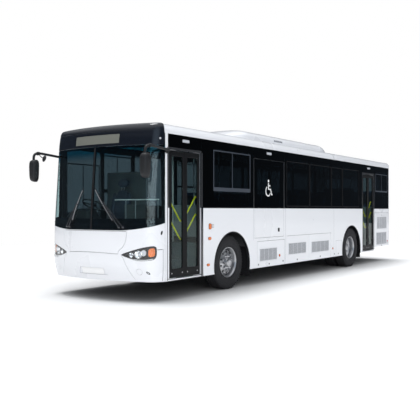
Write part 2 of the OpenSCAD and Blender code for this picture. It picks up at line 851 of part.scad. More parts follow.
module left_rear_rims() {
  color("silver") at_axle() translate([rear_axle_x, rear_wheel_y, axle_z]) twin_rims();
}
module right_rear_rims() {
  color("silver") at_axle() on_side(-1) translate([rear_axle_x, rear_wheel_y, axle_z]) twin_rims();
}
module left_rear_tyres() { color("black") at_axle() twin_tyres(1); }
module right_rear_tyres() { color("black") at_axle() twin_tyres(-1); }

// ---------------------------------------------------------------- passenger doors

// Each leaf is carried in its middle by an arm on a turning post at the jamb,
// and its closing edge is guided along the doorway, so it glides inwards.
post_inset = 19;
post_r = 14;
leaf_clear = 30;
leaf_beyond = 60;
leaf_pin_r = 8;
leaf_top = 2560;
leaf_y = half - wall_t / 2;
stile_w = 62;
kick_h = 150;
leaf_rails = [1040, 1360];
leaf_rail_rise = 420;

function door_width(d) = d[0] - d[1];
function arm_len(d) = (door_width(d) / 2 - post_inset - 5 - leaf_beyond) / 2;

// One leaf, drawn from its post towards +X, at the origin of the post
module leaf(d) {
  a = arm_len(d);
  x1 = 2 * a + leaf_beyond;
  difference() {
    side_extrude(-leaf_t / 2, leaf_t / 2) difference() {
      side_rect([leaf_clear, x1], [leaf_bottom, leaf_top]);
      side_rect([leaf_clear + stile_w, x1 - stile_w], [leaf_bottom + kick_h, leaf_top - 90]);
    }
    translate([a, 0, leaf_bottom - 1]) cylinder(r = leaf_pin_r + fit, h = 41);
    translate([a, 0, leaf_top - 40]) cylinder(r = leaf_pin_r + fit, h = 41);
  }
  side_extrude(-3, 3)
    side_rect([leaf_clear + stile_w + slit, x1 - stile_w - slit],
              [leaf_bottom + kick_h + slit, leaf_top - 90 - slit]);
  for (z = leaf_rails) {
    rod([leaf_clear + 35, -leaf_t / 2 - 45, z + leaf_rail_rise], [x1 - 40, -leaf_t / 2 - 45, z], 13);
    rod([leaf_clear + 35, -leaf_t / 2 - 45, z + leaf_rail_rise],
        [leaf_clear + 35, -leaf_t / 2 + 2, z + leaf_rail_rise], 9);
    rod([x1 - 40, -leaf_t / 2 - 45, z], [x1 - 40, -leaf_t / 2 + 2, z], 9);
  }
}

module leaf_arm(d) {
  a = arm_len(d);
  translate([0, 0, leaf_bottom - 11]) cylinder(r = post_r, h = doorway_top - leaf_bottom + 9);
  for (z = [leaf_bottom - 11, leaf_top + 3]) block([0, -11, z], [a, 11, z + 8]);
  translate([a, 0, leaf_bottom - 11]) cylinder(r = leaf_pin_r, h = 48);
  translate([a, 0, leaf_top - 36]) cylinder(r = leaf_pin_r, h = 47);
  for (z = [leaf_bottom - 11, leaf_top + 3]) translate([a, 0, z]) cylinder(r = 14, h = 8);
}

// Places a leaf or arm at its post: end 0 is the leading jamb, end 1 the trailing one
module at_post(d, end) {
  at_axle() translate([end == 0 ? d[0] - post_inset : d[1] + post_inset, leaf_y, 0])
    mirror([end == 0 ? 1 : 0, 0, 0]) children();
}

module front_door_leading_leaf() { color("black") at_post(front_door_x, 0) leaf(front_door_x); }
module front_door_trailing_leaf() { color("black") at_post(front_door_x, 1) leaf(front_door_x); }
module front_door_leading_arm() { color("gray") at_post(front_door_x, 0) leaf_arm(front_door_x); }
module front_door_trailing_arm() { color("gray") at_post(front_door_x, 1) leaf_arm(front_door_x); }
module rear_door_leading_leaf() { color("black") at_post(rear_door_x, 0) leaf(rear_door_x); }
module rear_door_trailing_leaf() { color("black") at_post(rear_door_x, 1) leaf(rear_door_x); }
module rear_door_leading_arm() { color("gray") at_post(rear_door_x, 0) leaf_arm(rear_door_x); }
module rear_door_trailing_arm() { color("gray") at_post(rear_door_x, 1) leaf_arm(rear_door_x); }

// ---------------------------------------------------------------- flaps

module wheelchair_door() {
  color("white") at_axle() difference() {
    side_extrude(half - wall_t, half) difference() {
      side_rect(wheelchair_x, wheelchair_z);
      side_rect([wheelchair_x[0] - 90, wheelchair_x[1] + 90], [window_z[0], wheelchair_z[1] - 90]);
    }
    side_extrude(half - glass_seat, half + 1)
      side_rect([wheelchair_x[0] + 1, wheelchair_x[1] - 1], [belt_z, wheelchair_z[1] + 1]);
  }
  color("black") at_axle() side_extrude(half - glass_t, half)
    side_rect([wheelchair_x[0] - 2, wheelchair_x[1] + 2], [belt_z + 4, wheelchair_z[1] - 2]);
}

module flap(f, s, z0) {
  color("white") at_axle() on_side(s) side_extrude(half - wall_t, half)
    side_rect([f[0], f[1]], [z0, f[2]]);
}

module left_flap_1() { flap(left_flaps[0], 1, skirt_z); }
module left_flap_2() { flap(left_flaps[1], 1, skirt_z); }
module left_flap_3() { flap(left_flaps[2], 1, skirt_z); }
module right_flap_1() { flap(right_flaps[0], -1, skirt_z); }
module right_flap_2() { flap(right_flaps[1], -1, skirt_z); }
module left_engine_flap() { flap(engine_flap, 1, lower_end_z); }

frame_rails();
frame_crossmembers();
bumper_beams();
floor();
underfloor_bays();
left_side_wall();
right_side_wall();
front_panel();
front_cap();
windscreen();
roof();
rear_wall();
windows();
ac_unit();
mirrors();
wipers();
headlamps();
tail_lamps();
dashboard();
driver_seat();
driver_partition();
passenger_seats();
grab_rails();
engine();
front_axle();
rear_axle();
steering_wheel();
left_knuckle();
right_knuckle();
track_rod();
left_front_rim();
left_front_tyre();
right_front_rim();
right_front_tyre();
left_rear_rims();
left_rear_tyres();
right_rear_rims();
right_rear_tyres();
front_door_leading_leaf();
front_door_trailing_leaf();
front_door_leading_arm();
front_door_trailing_arm();
rear_door_leading_leaf();
rear_door_trailing_leaf();
rear_door_leading_arm();
rear_door_trailing_arm();
wheelchair_door();
left_flap_1();
left_flap_2();
left_flap_3();
left_engine_flap();
right_flap_1();
right_flap_2();
front_flap();
engine_door();
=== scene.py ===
import json
import math
import random

import bmesh
import bpy
from mathutils import Matrix, Vector
from mathutils.geometry import delaunay_2d_cdt


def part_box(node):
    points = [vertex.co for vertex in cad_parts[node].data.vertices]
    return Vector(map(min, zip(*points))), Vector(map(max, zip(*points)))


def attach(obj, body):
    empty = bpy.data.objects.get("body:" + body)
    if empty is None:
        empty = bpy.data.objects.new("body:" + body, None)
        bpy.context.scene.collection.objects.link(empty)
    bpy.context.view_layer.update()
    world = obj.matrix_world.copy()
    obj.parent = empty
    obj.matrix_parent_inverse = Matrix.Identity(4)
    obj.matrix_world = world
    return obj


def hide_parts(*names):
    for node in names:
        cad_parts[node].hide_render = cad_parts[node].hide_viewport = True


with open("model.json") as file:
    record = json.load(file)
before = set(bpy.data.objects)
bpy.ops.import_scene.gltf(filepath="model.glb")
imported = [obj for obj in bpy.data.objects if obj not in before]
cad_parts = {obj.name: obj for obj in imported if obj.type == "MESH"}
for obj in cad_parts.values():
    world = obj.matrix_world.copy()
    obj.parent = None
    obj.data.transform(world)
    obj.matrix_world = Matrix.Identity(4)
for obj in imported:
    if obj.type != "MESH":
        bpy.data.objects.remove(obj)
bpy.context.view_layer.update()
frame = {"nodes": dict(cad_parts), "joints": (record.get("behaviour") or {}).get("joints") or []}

# ------------------------------------------------------------------ dimensions
# Metres. Much is placed from the imported boxes and joints, the rest from given numbers; lengths along the
# bus are given from the front axle, positive forwards, and at() turns them into the frame's x.

JOINTS = {j["name"]: j for j in frame["joints"]}
FRONT_AXLE = Vector(JOINTS["left_front_spin"]["pos_m"])
REAR_AXLE = Vector(JOINTS["left_rear_spin"]["pos_m"])
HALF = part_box("left_side_wall")[1].y
MASK_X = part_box("front_panel")[0].x
NOSE_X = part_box("front_panel")[1].x
SKIRT_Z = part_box("front_panel")[0].z
ROOF_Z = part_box("front_cap")[1].z
TAIL_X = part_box("rear_wall")[0].x
CANTRAIL_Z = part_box("left_side_wall")[1].z
BELT_Z = 1.58
FLOOR_Z = 0.95
DOORWAYS = ((2.036, 1.056), (-6.825, -7.775))
DOOR_TOP = 2.6


def at(x):
    """Frame x of a place measured from the front axle."""
    return FRONT_AXLE.x + x


# ------------------------------------------------------------------ materials


def node(tree, kind, inputs=None, **settings):
    """A new shader node; an input is a value, or the output that is linked to it."""
    made = tree.nodes.new("ShaderNode" + kind)
    for key, value in settings.items():
        setattr(made, key, value)
    for key, value in (inputs or {}).items():
        if isinstance(value, bpy.types.NodeSocket):
            tree.links.new(value, made.inputs[key])
        else:
            made.inputs[key].default_value = value
    return made


def maths(tree, operation, a, b=0.5, c=0.5, **settings):
    return node(tree, "Math", {0: a, 1: b, 2: c}, operation=operation, **settings).outputs[0]


def blend(tree, factor, a, b):
    """A colour between two, each a tuple of three or another node's output."""
    full = [v if isinstance(v, bpy.types.NodeSocket) else (*v, 1) for v in (a, b)]
    ends_and_factor = {"Factor": factor, "A": full[0], "B": full[1]}
    return node(tree, "Mix", ends_and_factor, data_type="RGBA").outputs["Result"]


def ramp(tree, value, low, high, to_low=0.0, to_high=1.0, **settings):
    limits = {"Value": value, "From Min": low, "From Max": high, "To Min": to_low, "To Max": to_high}
    return node(tree, "MapRange", limits, **settings).outputs[0]


def empty_material(name):
    m = bpy.data.materials.new(name)
    m.use_nodes = True
    m.node_tree.nodes.clear()
    return m, m.node_tree


def varied(tree, drift, colour, vary):
    """The colour, a little darker or lighter where the drift noise is low or high."""
    return blend(tree, drift, [c * (1 - vary) for c in colour], [min(c * (1 + vary), 1) for c in colour])


def outside_of_wall(tree, place):
    """1 on the wall's outer skin, but 0 in the glazed band behind the front door's front edge."""
    x, y, z = node(tree, "SeparateXYZ", {0: place}).outputs
    skin = maths(tree, "GREATER_THAN", maths(tree, "ABSOLUTE", y), HALF - 0.0015)
    band = maths(tree, "COMPARE", z, (BELT_Z + CANTRAIL_Z) / 2, (CANTRAIL_Z - BELT_Z) / 2 - 0.003)
    glazed = maths(tree, "MULTIPLY", band, maths(tree, "LESS_THAN", x, at(DOORWAYS[0][0] + 0.001)))
    return maths(tree, "SUBTRACT", skin, glazed, use_clamp=True)


def surface(name, colour, rough=0.4, metal=0.0, coat=0.0, vary=0.08, patch=1.5, grain=300.0,
            bump=0.1, depth=0.0004, pattern="noise", stretch=(1, 1, 1), specular=0.5, fleck=None,
            lining=None):
    """A solid finish: its colour drifts a little, its gloss varies and it has a fine grain.
    fleck is a second colour, its scale and its size; lining is the colour off a wall's skin."""
    m, tree = empty_material(name)
    place = node(tree, "TexCoord").outputs["Object"]
    stretched = node(tree, "Mapping", {"Scale": stretch, 0: place}).outputs[0]
    drift = node(tree, "TexNoise", {"Scale": patch, "Detail": 5, "Vector": stretched}).outputs["Fac"]
    tint = varied(tree, drift, colour, vary)
    kind = {"noise": "TexNoise", "cells": "TexVoronoi", "weave": "TexWave"}[pattern]
    fine = node(tree, kind, {"Scale": grain, "Vector": stretched})
    height = fine.outputs["Distance" if pattern == "cells" else "Fac"]
    if pattern == "weave":
        across = node(tree, "TexWave", {"Scale": grain, "Vector": stretched}, bands_direction="Z")
        height = maths(tree, "MAXIMUM", height, across.outputs["Fac"])
    if fleck:
        cells = node(tree, "TexVoronoi", {"Scale": fleck[1], "Vector": stretched}).outputs["Distance"]
        tint = blend(tree, maths(tree, "LESS_THAN", cells, fleck[2]), tint, fleck[0])
    if lining:
        tint = blend(tree, outside_of_wall(tree, place), lining, tint)
    bsdf = node(tree, "BsdfPrincipled", {
        "Base Color": tint, "Roughness": ramp(tree, drift, 0.0, 1.0, rough * 0.8, min(rough * 1.25, 1)),
        "Metallic": metal, "Coat Weight": coat, "Coat Roughness": 0.04, "Specular IOR Level": specular})
    if bump:
        relief = node(tree, "Bump", {"Strength": bump, "Distance": depth, "Height": height})
        tree.links.new(relief.outputs[0], bsdf.inputs["Normal"])
    node(tree, "OutputMaterial", {"Surface": bsdf.outputs[0]})
    return m


def glass(name, tint, ior=1.45, band=None, clear=None):
    """Tinted glass that lets lamps through. band is a second tint above the height clear[1],
    and the first one holds below clear[0]."""
    m, tree = empty_material(name)
    place = node(tree, "TexCoord").outputs["Object"]
    colour = varied(tree, node(tree, "TexNoise", {"Scale": 1.2, "Vector": place}).outputs["Fac"], tint, 0.06)
    if band:
        height = node(tree, "SeparateXYZ", {0: place}).outputs["Z"]
        colour = blend(tree, ramp(tree, height, *clear), colour, band)
    bsdf = node(tree, "BsdfPrincipled", {"Base Color": colour, "Transmission Weight": 1.0, "Roughness": 0.0,
                                         "IOR": ior})
    through = node(tree, "BsdfTransparent", {"Color": colour})
    shadow = node(tree, "LightPath").outputs["Is Shadow Ray"]
    choose = node(tree, "MixShader", {0: shadow, 1: bsdf.outputs[0], 2: through.outputs[0]})
    node(tree, "OutputMaterial", {"Surface": choose.outputs[0]})
    return m


PAINT = {"colour": (0.80, 0.81, 0.84), "rough": 0.28, "vary": 0.012, "patch": 0.8, "grain": 900, "bump": 0.03,
         "depth": 0.0002}
WHITE = surface("white_paint", coat=0.6, **PAINT)
WALL = surface("lined_white_paint", coat=0.3, lining=(0.012, 0.013, 0.015), **PAINT)
# Painted shade: the grey behind the grille slats and under the top of each grille frame stands for the shade
# inside.
PAINTED_GRILLE_SHADE = surface("painted_grille_shade", (0.30, 0.31, 0.33), 0.6, vary=0.2)
# Painted shadow: dark strips for the shade in panel gaps, seams and louvre slots.
SEAM_SHADE = surface("seam_shadow", (0.16, 0.17, 0.19), 0.6, vary=0.2)
BLACK = surface("black_paint", (0.006, 0.008, 0.013), 0.10, coat=0.5, vary=0.15, bump=0.02)
FRIT = surface("black_glazing", (0.003, 0.004, 0.006), 0.2, vary=0.2, bump=0.01, specular=0.2)
DARK = surface("dark_metal", (0.035, 0.036, 0.04), 0.55, metal=0.2, vary=0.3, patch=5, grain=160, bump=0.25)
STEEL = surface("bare_steel", (0.42, 0.42, 0.44), 0.34, metal=1.0, vary=0.15, patch=9, grain=240, bump=0.15)
RUBBER = surface("rubber_seal", (0.010, 0.010, 0.0115), 0.7, vary=0.2, grain=500, bump=0.2, specular=0.25)
TYRE = surface("tyre_rubber", (0.015, 0.015, 0.017), 0.78, vary=0.3, patch=7, grain=420, bump=0.35,
               depth=0.0008)
RIM = surface("rim_metal", (0.50, 0.505, 0.52), 0.30, metal=1.0, vary=0.06, patch=6, grain=60, bump=0.05,
              stretch=(1, 12, 1))
CHROME = surface("reflector", (0.9, 0.91, 0.93), 0.07, metal=1.0, vary=0.03, bump=0.0)
PLASTIC = surface("black_plastic", (0.012, 0.013, 0.015), 0.42, vary=0.15, grain=700, bump=0.25,
                  pattern="cells", specular=0.35)
GREY = surface("grey_plastic", (0.22, 0.23, 0.25), 0.5, vary=0.1, grain=600, bump=0.2, pattern="cells")
LEAF = surface("door_frame", (0.004, 0.0045, 0.0055), 0.4, vary=0.15, bump=0.05, specular=0.15)
PALE = surface("pale_trim", (0.60, 0.61, 0.62), 0.5, vary=0.05, grain=500, bump=0.15, pattern="cells")
SEAT = surface("seat_plastic", (0.035, 0.075, 0.16), 0.38, vary=0.1, grain=500, bump=0.15, pattern="cells")
CLOTH = surface("seat_fabric", (0.05, 0.055, 0.075), 0.95, vary=0.25, patch=30, grain=220, bump=0.6,
                depth=0.001, pattern="weave", specular=0.2)
VINYL = surface("floor_vinyl", (0.13, 0.14, 0.155), 0.55, vary=0.1, grain=300, bump=0.1,
                fleck=((0.34, 0.35, 0.37), 120, 0.22))
YELLOW = surface("yellow_coat", (0.98, 0.84, 0.02), 0.32, coat=0.5, vary=0.05, bump=0.05)
SHEET = surface("inner_sheet", (0.09, 0.092, 0.098), 0.6, metal=0.1, vary=0.2, patch=4, grain=200, bump=0.15)
GRILLE = surface("grille_paint", (0.72, 0.73, 0.76), 0.45, metal=0.1, vary=0.05, grain=300, bump=0.1)
FRAME_GREY = surface("window_frame", (0.075, 0.09, 0.115), 0.38, metal=0.6, vary=0.1, grain=300, bump=0.08)
POST = surface("door_post", (0.018, 0.020, 0.024), 0.5, vary=0.1, grain=300, bump=0.08, specular=0.3)
ALU = surface("brushed_strip", (0.62, 0.63, 0.65), 0.36, metal=1.0, vary=0.06, grain=30, bump=0.1,
              stretch=(1, 14, 14))
LENS = {"coat": 0.8, "vary": 0.1, "patch": 40, "grain": 260, "bump": 0.35, "pattern": "cells"}
AMBER = surface("amber_lens", (0.66, 0.14, 0.008), 0.16, **LENS)
RED = surface("red_lens", (0.50, 0.012, 0.012), 0.16, **LENS)
CLEAR_LENS = surface("clear_lens", (0.52, 0.54, 0.58), 0.12, **LENS)
SCREEN = surface("sign_screen", (0.15, 0.155, 0.135), 0.3, vary=0.05, grain=140, bump=0.1, pattern="cells",
                 fleck=((0.19, 0.195, 0.17), 130, 0.2))
PLATE = surface("blank_plate", (0.87, 0.87, 0.87), 0.35, vary=0.02, bump=0.05)
SIDE_GLASS = glass("tinted_glass", (0.05, 0.07, 0.085), 1.3)
DOOR_GLASS = glass("door_glass", (0.56, 0.68, 0.66), 1.2)
SCREEN_GLASS = glass("windscreen_glass", (0.62, 0.75, 0.76), band=(0.02, 0.36, 0.52), clear=(2.40, 2.54))
LAMP_GLASS = glass("lamp_cover", (0.93, 0.95, 0.97))

# ------------------------------------------------------------------ mesh building


def grid(rows, n, closed=True):
    """Faces between rows of n vertices each, and round each row if it's closed."""
    around = range(n if closed else n - 1)
    return [[j * n + k, j * n + (k + 1) % n, (j + 1) * n + (k + 1) % n, (j + 1) * n + k]
            for j in range(rows - 1) for k in around]


def ends(rows, n):
    """The faces that close the first and the last of such rows."""
    return [list(range(n))[::-1], [(rows - 1) * n + k for k in range(n)]]


class Shape:
    """Vertices and faces of one piece, each face with one of the piece's materials."""

    def __init__(self):
        self.verts, self.faces, self.mats = [], [], []

    def add(self, verts, faces, mat=0):
        base = len(self.verts)
        self.verts += [tuple(v) for v in verts]
        self.faces += [[base + i for i in f] for f in faces]
        self.mats += [mat] * len(faces)
        return self

    def box(self, low, high, edge=0.003, mat=0, turn=None):
        """A box with chamfered edges, turned by a matrix if one is given."""
        low, high = [list(p) for p in (low, high)]
        for k in range(3):
            low[k], high[k] = min(low[k], high[k]), max(low[k], high[k])
        c = min([edge] + [(high[k] - low[k]) * 0.45 for k in range(3)])
        index, verts = {}, []
        for corner in range(8):
            sign = [(corner >> k) & 1 for k in range(3)]
            for axis in range(3):
                p = [high[k] - c if sign[k] else low[k] + c for k in range(3)]
                p[axis] = high[axis] if sign[axis] else low[axis]
                index[corner, axis] = len(verts)
                verts.append(turn @ Vector(p) if turn else p)
        faces = []
        for axis in range(3):
            u, v = (axis + 1) % 3, (axis + 2) % 3
            for side in (0, 1):
                ring = [side << axis | a << u | b << v for a, b in ((0, 0), (1, 0), (1, 1), (0, 1))]
                faces.append([index[k, axis] for k in (ring if side else ring[::-1])])
            for a, b in ((0, 0), (1, 0), (1, 1), (0, 1)):
                k0 = a << u | b << v
                k1 = k0 | 1 << axis
                quad = [index[k0, u], index[k1, u], index[k1, v], index[k0, v]]
                faces.append(quad if a != b else quad[::-1])
        for corner in range(8):
            tri = [index[corner, k] for k in range(3)]
            faces.append(tri if bin(corner).count("1") % 2 else tri[::-1])
        return self.add(verts, faces, mat)

    def lathe(self, profile, centre, axis=(0, 1, 0), n=48, mat=0):
        """Turns (radius, distance along the axis) points; a radius of 0 closes an end."""
        axis = Vector(axis).normalized()
        u = axis.orthogonal().normalized()
        w = axis.cross(u)
        verts, faces, rows = [], [], []
        for r, d in profile:
            row = []
            for k in range(1 if r == 0 else n):
                a = 2 * math.pi * k / n
                row.append(len(verts))
                verts.append(Vector(centre) + axis * d + (u * math.cos(a) + w * math.sin(a)) * r)
            rows.append(row)
        for a, b in zip(rows, rows[1:]):
            for k in range(n):
                j = (k + 1) % n
                face = [a[k % len(a)], a[j % len(a)], b[j % len(b)], b[k % len(b)]]
                faces.append(list(dict.fromkeys(face)))
        faces = [f for f in faces if len(f) > 2]
        return self.add(verts, faces, mat)

    def rod(self, a, b, r, n=16, mat=0, r_end=None):
        a, b = Vector(a), Vector(b)
        length = (b - a).length
        r_end = r if r_end is None else r_end
        e = min(r, r_end, length / 2) * 0.18
        return self.lathe([(0, 0), (r - e, 0), (r, e), (r_end, length - e), (r_end - e, length), (0, length)],
                          a, b - a, n, mat)

    def tube(self, points, r, n=12, mat=0):
        """A round tube along points, with closed ends."""
        points = [Vector(p) for p in points]
        ahead = (points[1] - points[0]).normalized()
        side = ahead.orthogonal().normalized()
        verts = []
        for i, p in enumerate(points):
            a = points[max(i - 1, 0)]
            b = points[min(i + 1, len(points) - 1)]
            ahead = (b - a).normalized()
            side = (side - ahead * side.dot(ahead)).normalized()
            up = ahead.cross(side)
            for k in range(n):
                t = 2 * math.pi * k / n
                verts.append(p + (side * math.cos(t) + up * math.sin(t)) * r)
        return self.add(verts, grid(len(points), n) + ends(len(points), n), mat)

    def sheet(self, outer, holes, place, depth, spacing=None, mat=0):
        """A plate with holes, drawn flat as (u, v) and put in space by place(u, v, out).
        Its face lies at out = 0 and its back at out = -depth."""
        if spacing:
            outer, holes = finer(outer, spacing), [finer(hole, spacing) for hole in holes]
        points = [Vector(p) for p in outer]
        edges = [(i, (i + 1) % len(outer)) for i in range(len(outer))]
        for hole in holes:
            base = len(points)
            points += [Vector(p) for p in hole]
            edges += [(base + i, base + (i + 1) % len(hole)) for i in range(len(hole))]
        loops = [outer] + list(holes)
        if spacing:
            low = [min(p[k] for p in outer) for k in (0, 1)]
            high = [max(p[k] for p in outer) for k in (0, 1)]
            count = [max(int((high[k] - low[k]) / spacing), 1) for k in (0, 1)]
            for i in range(1, count[0]):
                for j in range(1, count[1]):
                    p = [low[k] + (high[k] - low[k]) * m / count[k] for k, m in ((0, i), (1, j))]
                    if inside(p, loops) and clear_of(p, loops, spacing * 0.35):
                        points.append(Vector(p))
        flat, new_edges, tris, _, _, _ = delaunay_2d_cdt(points, edges, [], 0, 1e-7)
        kept = [t for t in tris if inside([sum(flat[i][k] for i in t) / 3 for k in (0, 1)], loops)]
        front = [place(p[0], p[1], 0.0) for p in flat]
        back = [place(p[0], p[1], -depth) for p in flat]
        n = len(flat)
        faces = [list(t) for t in kept] + [[i + n for i in reversed(t)] for t in kept]
        once = {}
        for t in kept:
            for a, b in zip(t, list(t[1:]) + [t[0]]):
                if (b, a) in once:
                    del once[b, a]
                else:
                    once[a, b] = True
        faces += [[b, a, a + n, b + n] for a, b in once]
        return self.add(front + back, faces, mat)

    def torus(self, centre, axis, big, small, n=48, m=12, mat=0):
        """A ring of radius big and thickness 2 * small."""
        ring = [(big + small * math.cos(2 * math.pi * k / m), small * math.sin(2 * math.pi * k / m))
                for k in range(m + 1)]
        return self.lathe(ring, centre, axis, n, mat)


def finer(loop, step):
    """A closed outline with its long edges split, so that it follows a curved surface."""
    points = []
    for a, b in zip(loop, list(loop[1:]) + [loop[0]]):
        count = max(math.ceil(math.dist(a[:2], b[:2]) / step - 0.001), 1)
        points += [tuple(a[k] + (b[k] - a[k]) * i / count for k in (0, 1)) for i in range(count)]
    return points


def inside(p, loops):
    """True if p lies in the first loop and in none of the others, by crossings."""
    hits = False
    for loop in loops:
        for (x0, y0), (x1, y1) in zip(loop, list(loop[1:]) + [loop[0]]):
            if (y0 > p[1]) != (y1 > p[1]) and p[0] < x0 + (p[1] - y0) * (x1 - x0) / (y1 - y0):
                hits = not hits
    return hits


def clear_of(p, loops, distance):
    """True if p is at least distance from every edge of the loops."""
    for loop in loops:
        for a, b in zip(loop, list(loop[1:]) + [loop[0]]):
            dx, dy = b[0] - a[0], b[1] - a[1]
            t = ((p[0] - a[0]) * dx + (p[1] - a[1]) * dy) / max(dx * dx + dy * dy, 1e-12)
            t = min(max(t, 0), 1)
            if math.hypot(p[0] - a[0] - t * dx, p[1] - a[1] - t * dy) < distance:
                return False
    return True


def emit(name, shape, body, mats, stands_for=None, smooth=38):
    """Makes the piece: its mesh, materials, body and the CAD node that it stands for."""
    mesh = bpy.data.meshes.new(name)
    mesh.from_pydata(shape.verts, [], shape.faces)
    mats = mats if isinstance(mats, (list, tuple)) else [mats]
    for m in mats:
        mesh.materials.append(m)
    mesh.polygons.foreach_set("material_index", shape.mats)
    bm = bmesh.new()
    bm.from_mesh(mesh)
    bmesh.ops.remove_doubles(bm, verts=bm.verts, dist=1e-6)
    bmesh.ops.recalc_face_normals(bm, faces=bm.faces)
    bm.to_mesh(mesh)
    bm.free()
    piece = bpy.data.objects.new(name, mesh)
    bpy.context.scene.collection.objects.link(piece)
    mesh.polygons.foreach_set("use_smooth", [True] * len(mesh.polygons))
    mesh.set_sharp_from_angle(angle=math.radians(smooth))
    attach(piece, body)
    if stands_for:
        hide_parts(stands_for)
    return piece


def rect(x0, x1, z0, z1, r=0.0, n=4):
    """A rectangle with round corners as (u, v) points."""
    x0, x1 = min(x0, x1), max(x0, x1)
    z0, z1 = min(z0, z1), max(z0, z1)
    if r <= 0:
        return [(x0, z0), (x1, z0), (x1, z1), (x0, z1)]
    centres = ((x1 - r, z0 + r), (x1 - r, z1 - r), (x0 + r, z1 - r), (x0 + r, z0 + r))
    points = []
    for quarter, (cx, cz) in enumerate(centres):
        for k in range(n + 1):
            a = math.radians(90 * (quarter - 1) + 90 * k / n)
            points.append((cx + r * math.cos(a), cz + r * math.sin(a)))
    return points


def circle(cx, cz, r, n=32, stretch=1.0, tilt=0.0):
    """A circle, or an ellipse that is longer by stretch and turned by tilt."""
    points = []
    c, d = math.cos(tilt), math.sin(tilt)
    for k in range(n):
        a = 2 * math.pi * k / n
        u, v = r * stretch * math.cos(a), r * math.sin(a)
        points.append((cx + u * c - v * d, cz + u * d + v * c))
    return points


def smooth_line(points, steps=8, closed=False):
    """A Catmull-Rom curve through points of any dimension."""
    pts = [tuple(p) for p in points]
    n = len(pts)
    pick = (lambda i: pts[i % n]) if closed else (lambda i: pts[min(max(i, 0), n - 1)])
    line = []
    for i in range(n if closed else n - 1):
        p0, p1, p2, p3 = pick(i - 1), pick(i), pick(i + 1), pick(i + 2)
        for k in range(steps):
            t = k / steps
            line.append(tuple(0.5 * (2 * b + (c - a) * t + (2 * a - 5 * b + 4 * c - d) * t * t
                                     + (3 * b - a - 3 * c + d) * t ** 3)
                              for a, b, c, d in zip(p0, p1, p2, p3)))
    return line if closed else line + [pts[-1]]


def ribbon(points, width):
    """The outline of a narrow strip along points, for a seam."""
    left, right = [], []
    for i, p in enumerate(points):
        a, b = points[max(i - 1, 0)], points[min(i + 1, len(points) - 1)]
        dx, dy = b[0] - a[0], b[1] - a[1]
        size = math.hypot(dx, dy)
        nx, ny = -dy / size * width / 2, dx / size * width / 2
        left.append((p[0] + nx, p[1] + ny))
        right.append((p[0] - nx, p[1] - ny))
    return left + right[::-1]


def side_place(s, y=None):
    """Puts (x from the front axle, z) on the outside of the left (1) or right (-1) wall."""
    y = HALF if y is None else y
    return lambda u, v, out: Vector((at(u), s * (y + out), v))


def lifted(place, by):
    """The same surface moved outwards."""
    return lambda u, v, out: place(u, v, out + by)


def mirrored(points):
    return [(-p[0], p[1]) for p in points][::-1]


# ------------------------------------------------------------------ nose surface
# The front is a surface in (s, z): s runs along the outline in plan from the centre line,
# positive to the left, over a wide front arc and a tight corner arc.

FRONT_R = 3.6
CORNER_R = 0.3
CORNER_A = math.asin((HALF - CORNER_R) / (FRONT_R - CORNER_R))
FRONT_S = FRONT_R * CORNER_A
CORNER_S = CORNER_R * (math.pi / 2 - CORNER_A)
NOSE_LINE = smooth_line([(SKIRT_Z, -0.09), (0.5, -0.038), (0.64, -0.004), (0.9, -0.004), (1.34, -0.016),
                         (2.0, -0.065), (2.64, -0.115), (2.84, -0.14), (2.93, -0.158), (2.975, -0.182),
                         (3.003, -0.215), (ROOF_Z, -0.275)], 10)


def nose_front(z):
    """How far forward the nose reaches at a height."""
    for (z0, x0), (z1, x1) in zip(NOSE_LINE, NOSE_LINE[1:]):
        if z <= z1:
            return NOSE_X + x0 + (x1 - x0) * min(max((z - z0) / (z1 - z0), 0), 1)
    return NOSE_X + NOSE_LINE[-1][1]


def nose_place(s, z, out=0.0):
    front = nose_front(z)
    a = abs(s)
    side = 1 if s >= 0 else -1
    if a < FRONT_S:
        t = a / FRONT_R
        x = front - FRONT_R + (FRONT_R + out) * math.cos(t)
        y = (FRONT_R + out) * math.sin(t)
    else:
        cx = front - FRONT_R + (FRONT_R - CORNER_R) * math.cos(CORNER_A)
        cy = HALF - CORNER_R
        t = CORNER_A + (a - FRONT_S) / CORNER_R
        if t < math.pi / 2:
            x, y = cx + (CORNER_R + out) * math.cos(t), cy + (CORNER_R + out) * math.sin(t)
        else:
            x, y = cx - (a - FRONT_S - CORNER_S), HALF + out
    return Vector((x, side * y, z))


def nose_end(z, x=None):
    """The s at which the surface meets the side wall's front edge, or another x."""
    x = MASK_X if x is None else x
    cx = nose_front(z) - FRONT_R + (FRONT_R - CORNER_R) * math.cos(CORNER_A)
    if x <= cx:
        return FRONT_S + CORNER_S + cx - x
    return FRONT_S + CORNER_R * (math.acos(min((x - cx) / CORNER_R, 1)) - CORNER_A)


def screen_foot(s):
    """Height of the lower edge of the windscreen's black border."""
    t = min(max((abs(s) - 0.6) / 0.88, 0), 1)
    return 1.204 + 0.128 * t ** 1.7


GAP = 0.005
SCREEN_TOP = 2.636


def half_outline(z0, z1, n=10):
    """The edge along the side wall, from height z0 to z1."""
    return [(nose_end(z0 + (z1 - z0) * k / n) - GAP / 2, z0 + (z1 - z0) * k / n) for k in range(n + 1)]


def span(a, b, n):
    return [a + (b - a) * k / n for k in range(n + 1)]


